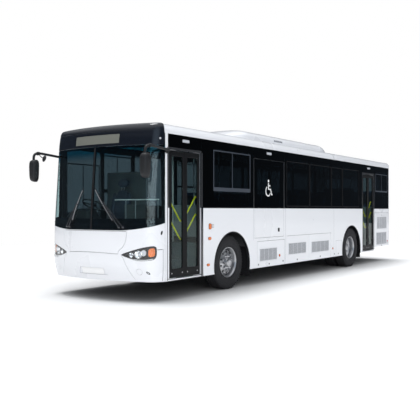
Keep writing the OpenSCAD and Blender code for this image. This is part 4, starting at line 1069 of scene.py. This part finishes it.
def wheels():
    """Front wheels with a raised disc, rear twins with a deep one."""
    half_width = (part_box("left_front_tyre")[1].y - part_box("left_front_tyre")[0].y) / 2
    radius = (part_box("left_front_tyre")[1].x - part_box("left_front_tyre")[0].x) / 2
    ease = lambda r, a, b: (lambda t: t * t * (3 - 2 * t))(min(max((r - a) / (b - a), 0), 1))
    front_dish = lambda r: 0.097 - 0.026 * ease(r, 0.155, 0.205) - 0.050 * ease(r, 0.215, 0.268)
    rear_dish = lambda r: -0.070 + 0.016 * ease(r, 0.16, 0.21) + 0.050 * ease(r, 0.215, 0.268)
    front_hub = [(0.100, 0.090), (0.098, 0.120), (0.088, 0.132), (0.086, 0.142), (0.070, 0.149),
                 (0.030, 0.150), (0, 0.150)]
    rear_hub = [(0.128, -0.078), (0.122, -0.03), (0.108, -0.012), (0.104, 0.028), (0.094, 0.042),
                (0.060, 0.050), (0, 0.050)]
    for side, s in (("left", 1), ("right", -1)):
        low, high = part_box(side + "_front_tyre")
        centre = (low + high) / 2
        body = side + "_front_wheel"
        tyre_piece = Shape()
        tyre_shape(tyre_piece, centre, half_width, radius, 3)
        emit(side + "_front_tread", tyre_piece, body, TYRE, side + "_front_tyre", smooth=30)
        rim = Shape()
        barrel(rim, centre)
        wheel_disc(rim, centre, s, front_dish, 0.0235, front_hub, 0.096)
        drum = [(0.06, -0.055), (0.186, -0.05), (0.19, -0.04), (0.19, 0.06), (0.06, 0.07)]
        rim.lathe(drum, centre, (0, s, 0), 48, 2)
        emit(side + "_front_wheel_rim", rim, body, [RIM, STEEL, DARK], side + "_front_rim", smooth=30)
        low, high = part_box(side + "_rear_tyres")
        outer = Vector(((low.x + high.x) / 2, s * (max(abs(low.y), abs(high.y)) - half_width),
                        (low.z + high.z) / 2))
        inner = Vector((outer.x, s * (min(abs(low.y), abs(high.y)) + half_width), outer.z))
        body = side + "_rear_wheels"
        twins, rims = Shape(), Shape()
        for k, c in enumerate((outer, inner)):
            tyre_shape(twins, c, half_width, radius, 5 + k)
            barrel(rims, c)
        emit(side + "_rear_treads", twins, body, TYRE, side + "_rear_tyres", smooth=30)
        wheel_disc(rims, outer, s, rear_dish, 0.0235, rear_hub, -0.070)
        rims.lathe([(0.07, -0.375), (0.196, -0.37), (0.2, -0.36), (0.2, -0.09), (0.12, -0.082)], outer,
                   (0, s, 0), 48, 2)
        emit(side + "_rear_wheel_rims", rims, body, [RIM, STEEL, DARK], side + "_rear_rims", smooth=30)


# ------------------------------------------------------------------ outside fittings


def mirror_head(shape, centre, s, wide, high, deep):
    """A tall rounded housing that narrows downwards, its glass facing back."""
    n = 36
    stations = ((0.0, 0.96, 0.97), (0.06, 1.0, 1.0), (0.30, 1.0, 1.0), (0.62, 0.94, 0.96), (0.85, 0.80, 0.88),
                (0.97, 0.55, 0.72), (1.0, 0.30, 0.5))
    verts = []
    for along, scale_y, scale_z in stations:
        for k in range(n):
            a = 2 * math.pi * k / n
            c, d = math.cos(a), math.sin(a)
            z = math.copysign(abs(d) ** 0.55, d) * high / 2
            y = math.copysign(abs(c) ** 0.62, c) * wide / 2 * (0.90 + 0.10 * z / (high / 2))
            verts.append(centre + Vector((deep * along, y * scale_y, z * scale_z)))
    shape.add(verts, grid(len(stations), n) + ends(len(stations), n))
    glass_line = [(0.90 * (v - centre).y, 0.93 * (v - centre).z) for v in verts[:n]]
    shape.sheet(glass_line, [], lambda u, v, out: centre + Vector((-0.001 - out, u, v)), 0.003, None, 1)


def mirrors():
    low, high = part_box("mirrors")
    shape = Shape()
    for s in (1, -1):
        root = Vector((at(2.073), s * (HALF + 0.001), 2.545))
        shape.lathe([(0.046, 0), (0.046, 0.012), (0.034, 0.018), (0.027, 0.034)], root, (0, s, 0), 32, 0)
        path = [root + Vector((0, s * 0.02, 0)), root + Vector((0.02, s * 0.055, 0.004)),
                Vector((at(2.30), s * 1.316, 2.567)), Vector((at(2.55), s * 1.332, 2.588)),
                Vector((at(2.66), s * 1.330, 2.576)), Vector((at(2.712), s * 1.324, 2.530)),
                Vector((at(2.722), s * 1.320, 2.44))]
        shape.tube(smooth_line(path, 8), 0.023, 16)
        shape.lathe([(0.026, -0.02), (0.034, -0.014), (0.034, 0.03), (0.026, 0.036)],
                    Vector((at(2.60), s * 1.332, 2.584)), (1, 0, -0.1), 20, 0)
        mirror_head(shape, Vector((high.x - 0.128, s * 1.32, 2.262)), s, 0.178, 0.408, 0.128)
    stalk = [Vector((at(2.60), -1.33, 2.58)), Vector((at(2.60), -1.26, 2.52)),
             Vector((at(2.60), -1.215, 2.50))]
    shape.tube(smooth_line(stalk, 5), 0.008, 10)
    spot = Vector((at(2.60), -1.17, 2.485))
    shape.lathe([(0, 0.03), (0.035, 0.024), (0.062, 0.006), (0.064, 0), (0.06, -0.004), (0, -0.004)], spot,
                (1, -0.25, 0.3), 28, 0)
    emit("mirror_arms_and_heads", shape, "body", [PLASTIC, CHROME], "mirrors", smooth=45)


def wipers():
    """Two wipers, each with a pair of parallel arms, a blade and a spindle cover."""
    shape = Shape()
    for pivot, tip in ((0.620, 0.050), (-0.550, -0.220)):
        side = 1 if pivot > 0 else -1
        for shift, r in ((0.0, 0.0105), (0.075, 0.008)):
            p = pivot + shift * side
            spindle = [(0.026, 0.0), (0.026, 0.02), (0.020, 0.034), (0.008, 0.040), (0, 0.040)]
            shape.lathe(spindle, nose_place(p, 1.262), (1, 0, 0.05), 24)
            a = nose_place(p, 1.262, 0.036)
            b = nose_place(pivot + (tip - pivot) * 0.62 + shift * 0.25 * side, 1.67, 0.030)
            shape.tube([a, a.lerp(b, 0.3), a.lerp(b, 0.7), b], r, 10)
        start, stop = (pivot * 0.80 + tip * 0.20, 1.335), (tip, 1.925)
        along = lambda t, out: nose_place(start[0] + (stop[0] - start[0]) * t,
                                          start[1] + (stop[1] - start[1]) * t, out)
        shape.tube([along(t, 0.012) for t in span(0, 1, 10)], 0.0065, 8, 1)
        bow = [along(t, 0.020 + 0.014 * math.sin(math.pi * t)) for t in span(0.06, 0.94, 10)]
        shape.tube(bow, 0.006, 8, 2)
        shape.lathe([(0, -0.014), (0.012, -0.012), (0.012, 0.012), (0, 0.014)], along(0.52, 0.03),
                    (0, 1, 0), 16)
    emit("wiper_arms_and_blades", shape, "body", [BLACK, RUBBER, STEEL], "wipers")


def roof_unit():
    """The cooling unit: a long rounded cover with side louvres and fan grilles on top."""
    low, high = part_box("ac_unit")
    n, columns = 28, 60
    tall = high.z - low.z

    def section(x, k):
        t = (x - low.x) / (high.x - low.x)
        ramp = min(t / 0.13, 1) if t < 0.5 else min((1 - t) / 0.14, 1)
        rise = tall * (0.06 + 0.94 * math.sin(ramp * math.pi / 2) ** 0.9)
        if 0.13 < t < 0.30:
            rise = tall * (1.0 - 0.03 * math.sin((t - 0.13) / 0.17 * math.pi))
        wide = (high.y - low.y) / 2 * (0.82 + 0.18 * math.sin(ramp * math.pi / 2))
        a = math.pi * k / n
        c, d = math.cos(a), math.sin(a)
        return Vector((x, math.copysign(abs(c) ** 0.42, c) * wide, low.z + abs(d) ** 0.52 * rise))

    verts = [section(low.x + (high.x - low.x) * i / columns, k)
             for i in range(columns + 1) for k in range(n + 1)]
    faces = grid(columns + 1, n + 1, False) + ends(columns + 1, n + 1)
    emit("roof_unit_cover", Shape().add(verts, faces), "body", WHITE, "ac_unit", smooth=50)
    fans = Shape()
    for x in span(low.x + 1.1, high.x - 1.1, 3):
        for y in (-0.33, 0.33):
            base = Vector((x, y, high.z - 0.022))
            fans.torus(base + Vector((0, 0, 0.006)), (0, 0, 1), 0.20, 0.010, 40, 8, 0)
            fans.lathe([(0, 0.004), (0.06, 0.006), (0.195, 0.004), (0.2, 0.0)], base, (0, 0, 1), 36, 1)
            for r in (0.09, 0.125, 0.16):
                fans.torus(base + Vector((0, 0, 0.011)), (0, 0, 1), r, 0.0028, 36, 6, 0)
            over = base + Vector((0, 0, 0.012))
            for k in range(8):
                a = math.pi * k / 4
                u = Vector((math.cos(a), math.sin(a), 0))
                fans.tube([over + u * 0.05, over + u * 0.2], 0.003, 6)
    # Dark boxes in painted shade stand for the louvre slots on both sides.
    for s in (-1, 1):
        for i in range(9):
            x = low.x + 2.80 + i * 0.045
            fans.box((x, s * 0.884, low.z + 0.075), (x + 0.024, s * 0.903, low.z + 0.115), 0.003, 1)
    emit("roof_unit_grilles", fans, "body", [GREY, SEAM_SHADE])


def tail():
    """Lamp clusters, louvres, blank plate, window frame and seams of the back."""
    lamps = Shape()
    back = (-1, 0, 0)
    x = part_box("tail_lamps")[0].x
    for s in (-1, 1):
        y = s * 1.01
        facing = lambda u, v, out: Vector((x + 0.006 - out, u, v))
        lamps.sheet(rect(y - 0.072, y + 0.072, 0.983, 1.417, 0.03, 5), [], facing, 0.02, None, 0)
        for z, r, mat in ((1.345, 0.052, 2), (1.22, 0.054, 1), (1.10, 0.040, 3)):
            base = Vector((x + 0.006, y, z))
            lamps.lathe([(r + 0.006, -0.002), (r + 0.006, 0.004), (r + 0.002, 0.006)], base, back, 32, 4)
            lens = [(r + 0.002, 0.0), (r, 0.006), (r * 0.75, 0.010), (r * 0.3, 0.012), (0, 0.0125)]
            lamps.lathe(lens, base, back, 32, mat)
        reflector = [(0.034, -0.001), (0.034, 0.008), (0.02, 0.012), (0, 0.013)]
        lamps.lathe(reflector, (TAIL_X, s * 0.72, 0.50), back, 28, 1)
    emit("tail_lamp_units", lamps, "body", [PLASTIC, RED, AMBER, CLEAR_LENS, CHROME], "tail_lamps")
    trim = Shape()
    trim.sheet(rect(-0.995, 0.995, 1.725, 2.655, 0.08, 6), [rect(-0.975, 0.975, 1.745, 2.635, 0.065, 6)],
               lifted(tail_place, 0.004), 0.006)
    trim.box((TAIL_X - 0.012, -0.35, 2.705), (TAIL_X + 0.001, 0.35, 2.735), 0.004)
    trim.box((TAIL_X - 0.035, -0.285, 0.636), (TAIL_X + 0.001, 0.285, 0.652), 0.004)
    emit("tail_trim", trim, "body", RUBBER)
    brake = Shape().box((TAIL_X - 0.016, -0.30, 2.711), (TAIL_X - 0.010, 0.30, 2.729), 0.003)
    emit("high_brake_lamp", brake, "body", RED)
    plate = Shape().sheet(rect(-0.26, 0.26, 0.505, 0.617, 0.01), [], lifted(tail_place, 0.007), 0.004)
    for y in (-0.15, 0.15):
        plate.lathe([(0.008, 0), (0.008, 0.006), (0, 0.007)], (TAIL_X - 0.006, y, 0.56), back, 16)
    emit("rear_plate", plate, "body", PLATE)
    door = Shape()
    for z0, z1 in ((0.72, 0.98), (1.08, 1.40)):
        door.sheet(rect(-0.66, 0.66, z0, z1, 0.02), [rect(-0.64, 0.64, z0 + 0.02, z1 - 0.02, 0.01)],
                   lifted(tail_place, 0.006), 0.007, None, 0)
        door.sheet(rect(-0.65, 0.65, z0 + 0.01, z1 - 0.01), [], lifted(tail_place, 0.001), 0.002,
                   None, 1)
        for z in span(z0 + 0.03, z1 - 0.03, 14):
            turn = Matrix.Translation((TAIL_X - 0.004, 0, z)) @ Matrix.Rotation(-0.7, 4, "Y")
            door.box((-0.0065, -0.642, -0.0014), (0.0065, 0.642, 0.0014), 0.0007, 0, turn)
    for s in (-1, 1):
        door.box((TAIL_X - 0.012, s * 0.76 - 0.02, 0.70), (TAIL_X + 0.001, s * 0.76 + 0.02, 0.76), 0.004, 1)
    emit("engine_door_louvres", door, "engine_door", [GRILLE, PLASTIC])


def underside():
    """Mud flaps and a drive shaft with a collar at each end."""
    flaps_shape = Shape()
    for s in (-1, 1):
        for x, y0, y1 in ((-0.672, 0.90, 1.225), (REAR_AXLE.x - FRONT_AXLE.x - 0.680, 0.62, 1.225)):
            flaps_shape.box((at(x) - 0.005, s * y0, 0.215), (at(x) + 0.005, s * y1, 0.80), 0.003)
            for z in (0.30, 0.36):
                flaps_shape.box((at(x) - 0.008, s * (y0 + 0.03), z),
                                (at(x) + 0.008, s * (y1 - 0.03), z + 0.012), 0.003)
    emit("mud_flaps", flaps_shape, "body", RUBBER)
    shaft = Shape()
    shaft.rod((at(-7.925), 0, 0.60), (REAR_AXLE.x - 0.105, 0, REAR_AXLE.z), 0.045, 28)
    for x, z in ((at(-7.87), 0.598), (REAR_AXLE.x - 0.18, REAR_AXLE.z + 0.004)):
        shaft.rod((x - 0.05, 0, z), (x + 0.03, 0, z), 0.072, 24)
    emit("drive_shaft", shaft, "body", DARK)


# ------------------------------------------------------------------ inside


def cushion(shape, centre, size, turn=None, mat=0, crown=0.35, n=10):
    """A crowned pad: a rounded block whose faces swell and whose sides pull in."""
    verts, faces, index = [], [], {}
    turn = turn or Matrix.Identity(3)

    def vertex(i, j, k):
        key = (i, j, k)
        if key not in index:
            p = Vector([2 * c / n - 1 for c in key])
            q = Vector([math.copysign(abs(c) ** 0.9, c) for c in p])
            a = [abs(c) for c in q]
            round_x = math.sqrt(max(0, 1 - 0.5 * (a[1] ** 8) - 0.5 * (a[2] ** 8) + (a[1] * a[2]) ** 8 / 3))
            round_y = math.sqrt(max(0, 1 - 0.5 * (a[0] ** 8) - 0.5 * (a[2] ** 8) + (a[0] * a[2]) ** 8 / 3))
            round_z = math.sqrt(max(0, 1 - 0.5 * (a[0] ** 6) - 0.5 * (a[1] ** 6) + (a[0] * a[1]) ** 6 / 3))
            swell = 1 - crown * (a[0] ** 2 + a[1] ** 2) / 2
            r = Vector((q.x * round_x, q.y * round_y, q.z * round_z * swell))
            index[key] = len(verts)
            verts.append(Vector(centre) + turn @ Vector([r[m] * size[m] / 2 for m in range(3)]))
        return index[key]

    for axis in range(3):
        u, v = (axis + 1) % 3, (axis + 2) % 3
        for end in (0, n):
            for i in range(n):
                for j in range(n):
                    quad = []
                    for a, b in ((i, j), (i + 1, j), (i + 1, j + 1), (i, j + 1)):
                        key = [0, 0, 0]
                        key[axis], key[u], key[v] = end, a, b
                        quad.append(vertex(*key))
                    faces.append(quad if end else quad[::-1])
    shape.add(verts, faces, mat)


def seat_places():
    """(x from the front axle, y, z of the foot, has a foot) of every passenger seat."""
    pitch, wide = 0.74, 0.43
    pair = [HALF - 0.095 - wide / 2 - k * (wide + 0.015) for k in (0, 1)]
    places = [(-2.95 - i * pitch, y, FLOOR_Z, True) for i in range(4) for y in pair]
    places += [(-1.45 - i * pitch, -y, FLOOR_Z, True) for i in range(6) for y in pair]
    rear = REAR_AXLE.x - FRONT_AXLE.x - 0.25
    places += [(rear, s * y, 1.15, True) for s in (1, -1) for y in pair]
    places += [(-7.2, -y, FLOOR_Z, True) for y in pair]
    places += [(-8.76, k * (wide + 0.015), 1.52 - 0.39, False) for k in range(-2, 3)]
    return places


def passenger_seats():
    """Moulded shells with a padded insert on the seat and the back, and a grab handle."""
    shells, pads = Shape(), Shape()
    lean = math.radians(-8)
    back_turn = Matrix.Rotation(lean, 3, "Y")
    for x, y, z, foot in seat_places():
        base = Vector((at(x), y, z))
        outline = smooth_line([(0.40, 0.438), (0.385, 0.452), (0.20, 0.440), (0.03, 0.446), (-0.035, 0.50),
                               (-0.075, 0.70), (-0.105, 0.98), (-0.118, 0.985)], 4)
        inner = smooth_line([(-0.135, 0.965), (-0.108, 0.70), (-0.072, 0.48), (-0.02, 0.415), (0.20, 0.408),
                             (0.375, 0.412), (0.40, 0.425)], 4)
        line = outline + inner
        n = len(line)
        verts = []
        for y_edge, shrink in ((-0.213, 0.012), (-0.201, 0.0), (0.201, 0.0), (0.213, 0.012)):
            verts += [base + Vector((u + (shrink if u < 0.1 else -shrink) * 0.3, y_edge, v)) for u, v in line]
        shells.add(verts, grid(4, n))
        for ring in (0, 3 * n):
            rim = [[ring + i, ring + i + 1, ring + n - 2 - i, ring + n - 1 - i] for i in range(n // 2 - 1)]
            shells.add(verts, rim)
        cushion(pads, base + Vector((0.195, 0, 0.452)), (0.34, 0.36, 0.034), None, 0, 0.3, 8)
        cushion(pads, base + Vector((-0.062, 0, 0.745)), (0.034, 0.34, 0.40), back_turn, 0, 0.15, 8)
        handle = [base + Vector((-0.125, -0.14, 0.93)), base + Vector((-0.128, -0.13, 0.985)),
                  base + Vector((-0.128, 0.13, 0.985)), base + Vector((-0.125, 0.14, 0.93))]
        shells.tube(smooth_line(handle, 5), 0.009, 8, 1)
        if foot:
            shells.box(base + Vector((0.125, -0.14, 0.0)), base + Vector((0.165, 0.14, 0.41)), 0.008, 2)
            shells.box(base + Vector((0.05, -0.16, 0.0)), base + Vector((0.25, 0.16, 0.012)), 0.004, 2)
        else:
            shells.box(base + Vector((-0.02, -0.19, 0.392)), base + Vector((0.36, 0.19, 0.412)), 0.006, 2)
    emit("passenger_seat_shells", shells, "body", [SEAT, ALU, DARK], "passenger_seats", smooth=45)
    soft = emit("passenger_seat_pads", pads, "body", CLOTH, smooth=60)


def driver_seat():
    """A sprung seat with crowned cloth cushions, side bolsters and a headrest."""
    low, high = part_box("driver_seat")
    mid = (low.y + high.y) / 2
    foot, pads = Shape(), Shape()
    x, z = at(1.18), FLOOR_Z
    for k in range(6):
        foot.box((x + 0.05 + 0.004 * (k % 2), mid - 0.16, z + k * 0.045),
                 (x + 0.37, mid + 0.16, z + k * 0.045 + 0.04), 0.012, 0)
    foot.box((x - 0.02, mid - 0.21, z + 0.275), (x + 0.42, mid + 0.21, z + 0.315), 0.012, 0)
    foot.rod((x - 0.10, mid - 0.03, z + 0.93), (x - 0.125, mid - 0.03, z + 1.07), 0.008, 10, 1)
    foot.rod((x - 0.10, mid + 0.03, z + 0.93), (x - 0.125, mid + 0.03, z + 1.07), 0.008, 10, 1)
    emit("driver_seat_base", foot, "body", [PLASTIC, STEEL], "driver_seat")
    lean = Matrix.Rotation(math.radians(-10), 3, "Y")
    cushion(pads, (x + 0.20, mid, z + 0.355), (0.46, 0.40, 0.115), None, 0, 0.18, 16)
    cushion(pads, (x - 0.075, mid, z + 0.69), (0.105, 0.38, 0.62), lean, 0, 0.1, 16)
    for s in (-1, 1):
        cushion(pads, (x + 0.20, mid + s * 0.195, z + 0.372), (0.42, 0.085, 0.10), None, 0, 0.1, 12)
        cushion(pads, (x - 0.055, mid + s * 0.19, z + 0.68), (0.10, 0.08, 0.52), lean, 0, 0.1, 12)
    cushion(pads, (x - 0.135, mid, z + 1.125), (0.085, 0.26, 0.175), lean, 0, 0.12, 12)
    soft = emit("driver_seat_cushions", pads, "body", CLOTH, smooth=60)


def dashboard():
    """Full-width shelf under the windscreen with the driver's hump, dials and a tray."""
    low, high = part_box("dashboard")
    body = Shape()

    def shelf_front(y):
        s = FRONT_R * math.asin(y / FRONT_R)
        return min(nose_place(s, 1.25).x - 0.085, at(2.48))

    verts = []
    profile = ((2.098, 0.96), (2.10, 1.10), (2.066, 1.16), (2.055, 1.205), (2.072, 1.238), (2.11, 1.248))
    ys = span(-1.16, 0.92, 24)
    for y in ys:
        front = shelf_front(y)
        verts += [Vector((at(u), y, v)) for u, v in profile]
        verts += [Vector((front - 0.05, y, 1.238)), Vector((front, y, 1.21)), Vector((front, y, 0.96))]
    m = len(profile) + 3
    body.add(verts, grid(len(ys), m) + ends(len(ys), m))
    mid = (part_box("steering_wheel")[0].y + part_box("steering_wheel")[1].y) / 2
    verts = []
    hump = ((2.32, 1.235, 0), (2.30, 1.24, 0.20), (2.24, 1.24, 0.30), (2.11, 1.24, 0.336),
            (2.04, 1.24, 0.325), (1.968, 1.24, 0.18), (1.968, 1.235, 0))
    stations = span(-1, 1, 16)
    for t in stations:
        fall = 1 - 0.42 * abs(t) ** 4
        verts += [Vector((at(u), mid + t * 0.32, z + rise * fall)) for u, z, rise in hump]
    body.add(verts, grid(len(stations), len(hump)) + ends(len(stations), len(hump)))
    tilt = Matrix.Translation((at(2.000), mid, 1.490)) @ Matrix.Rotation(math.radians(-26), 4, "Y")
    body.box((-0.006, -0.20, -0.055), (0.0, 0.20, 0.05), 0.006, 1, tilt)
    for y in (-0.115, 0.0, 0.115):
        c = tilt @ Vector((-0.006, y, 0.0))
        axis = tilt.to_3x3() @ Vector((-1, 0, 0))
        body.lathe([(0.042, 0), (0.044, 0.004), (0.040, 0.006), (0.038, 0.002), (0, 0.002)], c, axis, 28, 2)
    for i in range(8):
        c = Vector((at(2.058), mid + 0.40 + 0.055 * i, 1.215))
        body.box(c - Vector((0.004, 0.016, 0.012)), c + Vector((0.006, 0.016, 0.012)), 0.003, 2)
    body.box((at(2.16), 0.12, 1.290), (at(2.34), 0.52, 1.306), 0.004, 3)
    for y in (0.18, 0.46):
        body.box((at(2.24), y - 0.01, 1.245), (at(2.26), y + 0.01, 1.292), 0.003, 0)
    body.box((at(2.20), 0.20, 1.306), (at(2.30), 0.44, 1.332), 0.008, 4)
    wheel = JOINTS["steering_wheel_turn"]
    lean = Vector(wheel["axis"]).normalized()
    body.rod(Vector(wheel["pos_m"]) - lean * 0.330, Vector(wheel["pos_m"]) - lean * 0.098, 0.024, 20)
    emit("dashboard_shell", body, "body", [PLASTIC, GREY, CHROME, PALE, RED], "dashboard", smooth=40)
    rail = Shape()
    rail.rod((at(2.14), 0.14, 1.725), (at(2.14), 1.14, 1.725), 0.009, 14)
    for y in (0.40, 0.62, 1.12):
        rail.rod((at(2.14), y, 1.245), (at(2.14), y, 1.722), 0.007, 12, 1)
    emit("front_rail", rail, "body", [PALE, GREY])


def steering_wheel():
    joint = JOINTS["steering_wheel_turn"]
    centre, axis = Vector(joint["pos_m"]), Vector(joint["axis"]).normalized()
    shape = Shape()
    shape.torus(centre, axis, 0.215, 0.0145, 56, 14)
    shape.lathe([(0.02, -0.09), (0.024, -0.03), (0.055, -0.016), (0.062, 0.0), (0.055, 0.012),
                 (0.02, 0.016), (0, 0.016)],
                centre, axis, 32)
    u = axis.orthogonal().normalized()
    for k in range(3):
        turn = Matrix.Rotation(2 * math.pi * k / 3 + math.pi / 2, 3, axis)
        d = turn @ Vector((0, 1, 0))
        side = axis.cross(d)
        path = [centre + d * 0.05 + axis * -0.004, centre + d * 0.12 - axis * 0.006, centre + d * 0.205]
        for off in (-0.010, 0.010):
            shape.tube(smooth_line([p + side * off for p in path], 4), 0.0075, 8)
    emit("steering_wheel_rim", shape, "steering_wheel", PLASTIC, "steering_wheel", smooth=50)


POLE_Y, POLE_R, RAIL_Z = 0.33, 0.016, 2.78


def grab_rails():
    """Stanchions, ceiling rails with hanging loops, and grey screens at the doorways."""
    shape = Shape()
    top = CANTRAIL_Z + 0.12
    on_line = lambda x, s, z: (at(x), s * POLE_Y, z)
    for x in (-0.9, -2.4, -3.88, -5.56, -6.7):
        for s in (-1, 1):
            shape.rod(on_line(x, s, FLOOR_Z), on_line(x, s, RAIL_Z), POLE_R, 20)
            shape.lathe([(0.036, 0), (0.036, 0.006), (0.02, 0.02)], on_line(x, s, FLOOR_Z), (0, 0, 1), 20, 1)
            shape.rod(on_line(x, s, 2.745), on_line(x, s, 2.81), 0.023, 18, 1)
    rail = ((-8.2, 2.96), (-8.2, 2.80), (-8.15, RAIL_Z), (0.65, RAIL_Z), (0.70, 2.80), (0.70, 2.96))
    for s in (-1, 1):
        shape.tube(smooth_line([on_line(x, s, z) for x, z in rail], 5), POLE_R, 14)
        for x in span(-7.4, 0.2, 13):
            shape.box((at(x) - 0.012, s * POLE_Y - 0.003, 2.58), (at(x) + 0.012, s * POLE_Y + 0.003, 2.775),
                      0.002, 1)
            shape.torus(on_line(x, s, 2.54), (1, 0, 0), 0.045, 0.008, 20, 8, 1)
    for x in (0.96, -6.78, -7.82):
        shape.rod((at(x), 0.52, FLOOR_Z), (at(x), 0.52, top), POLE_R, 20)
        shape.box((at(x) - 0.012, 0.54, 1.05), (at(x) + 0.012, 1.18, 1.64), 0.006, 2)
        for z in (1.12, 1.58):
            shape.rod((at(x), 0.515, z), (at(x), 0.56, z), 0.010, 12, 1)
    emit("stanchions_and_screens", shape, "body", [ALU, PLASTIC, GREY], "grab_rails")


# ------------------------------------------------------------------ finish of the CAD nodes

CAD_FINISH = {
    "frame_rails": DARK, "frame_crossmembers": DARK, "bumper_beams": DARK, "floor": VINYL,
    "underfloor_bays": SHEET, "left_side_wall": WALL, "right_side_wall": WALL,
    "roof": WHITE, "rear_wall": WHITE,
    "driver_partition": SHEET, "engine": DARK, "front_axle": DARK, "rear_axle": DARK, "left_knuckle": STEEL,
    "right_knuckle": STEEL, "track_rod": STEEL, "front_door_leading_arm": ALU, "front_door_trailing_arm": ALU,
    "rear_door_leading_arm": ALU, "rear_door_trailing_arm": ALU}


def finish_cad_nodes():
    for name, node in frame["nodes"].items():
        node.data.materials.clear()
        node.data.materials.append(CAD_FINISH.get(name, WHITE))


# ------------------------------------------------------------------ studio


def surroundings(scene):
    """White to the camera and through clean glass; reflections see a dark horizon under a
    pale sky, with a bluish window ahead on the left."""
    world = bpy.data.worlds.new("studio")
    scene.world = world
    world.use_nodes = True
    tree = world.node_tree
    tree.nodes.clear()
    place = node(tree, "TexCoord").outputs["Generated"]
    height = node(tree, "SeparateXYZ", {0: place}).outputs["Z"]
    sky = blend(tree, ramp(tree, height, 0.30, 0.80, interpolation_type="SMOOTHSTEP"), (0.06, 0.075, 0.095),
                (1.25, 1.28, 1.32))
    ahead = Vector((0.62, 0.76, 0.16)).normalized()
    toward = node(tree, "VectorMath", {0: place, 1: ahead}, operation="DOT_PRODUCT").outputs["Value"]
    sky = blend(tree, ramp(tree, toward, 0.86, 1.0, interpolation_type="SMOOTHSTEP"), sky, (0.62, 0.80, 1.0))
    lit = node(tree, "Background", {"Color": sky, "Strength": AMBIENT})
    seen = node(tree, "Background", {"Color": (1, 1, 1, 1), "Strength": 1.0})
    rays = node(tree, "LightPath").outputs
    clean = maths(tree, "LESS_THAN", rays["Glossy Depth"], 0.5)
    straight = maths(tree, "MULTIPLY", rays["Is Transmission Ray"], clean)
    white = maths(tree, "MAXIMUM", rays["Is Camera Ray"], straight)
    mix = node(tree, "MixShader", {0: white, 1: lit.outputs[0], 2: seen.outputs[0]})
    node(tree, "OutputWorld", {"Surface": mix.outputs[0]})


def studio_floor(scene):
    """A pale floor with a painted shadow that darkens it under the bus, and that glows white from GLOW_FROM
    to GLOW_FULL.
    """
    mesh = bpy.data.meshes.new("floor")
    size = 60.0
    mesh.from_pydata([(-size, -size, 0), (size, -size, 0), (size, size, 0), (-size, size, 0)], [],
                     [[0, 1, 2, 3]])
    ground = bpy.data.objects.new("studio_floor", mesh)
    scene.collection.objects.link(ground)
    m, tree = empty_material("studio_floor")
    # Painted shadow: the floor's colour darkens where the bus occludes it, deeper than the shadow the lights
    # cast.
    painted_contact_shadow = node(tree, "AmbientOcclusion", {"Distance": 1.6, "Color": (1, 1, 1, 1)}).outputs["AO"]
    plain = node(tree, "BsdfDiffuse", {"Color": ramp(tree, painted_contact_shadow, 0.25, 0.95, 0.40, 0.93)})
    place = node(tree, "TexCoord").outputs["Object"]
    reach = node(tree, "VectorMath", {0: place}, operation="LENGTH").outputs["Value"]
    fade = ramp(tree, reach, GLOW_FROM, GLOW_FULL)
    glow = node(tree, "Emission")
    far = node(tree, "MixShader", {0: fade, 1: plain.outputs[0], 2: glow.outputs[0]})
    node(tree, "OutputMaterial", {"Surface": far.outputs[0]})
    mesh.materials.append(m)


def studio():
    """White floor that keeps the shadow, white surroundings, soft key light and the camera."""
    scene = bpy.context.scene
    scene.view_settings.view_transform = "Standard"
    surroundings(scene)
    studio_floor(scene)
    for name, energy, angle, source in (("key", KEY, 22, (0.05, -0.16, 1.0)),
                                        ("fill", FILL, 50, (0.72, 0.68, 0.20))):
        light = bpy.data.lights.new(name, "SUN")
        light.energy = energy
        light.angle = math.radians(angle)
        lamp = bpy.data.objects.new(name, light)
        lamp.rotation_euler = Vector(source).to_track_quat("Z", "Y").to_euler()
        lamp.visible_glossy = name == "key"
        scene.collection.objects.link(lamp)
    camera_data = bpy.data.cameras.new("camera")
    camera_data.sensor_width = 36.0
    camera_data.lens = 54.857
    camera_data.clip_end = 300
    camera = bpy.data.objects.new("camera", camera_data)
    camera.location = (at(10.534), 7.932, 1.546)
    camera.rotation_euler = (math.radians(90), 0, math.radians(124.42))
    scene.collection.objects.link(camera)
    scene.camera = camera


AMBIENT = 0.72
KEY = 1.52
FILL = 1.85
GLOW_FROM = 8.0
GLOW_FULL = 16.0

finish_cad_nodes()
front_panel()
headlamps()
windscreen()
front_cap()
side_glass()
window_frames()
wall_trim()
flaps()
side_lamps()
wheelchair_door()
for doorway in ("front", "rear"):
    for end in ("leading", "trailing"):
        door_leaf(doorway, end)
wheels()
mirrors()
wipers()
roof_unit()
tail()
underside()
passenger_seats()
driver_seat()
dashboard()
steering_wheel()
grab_rails()
studio()
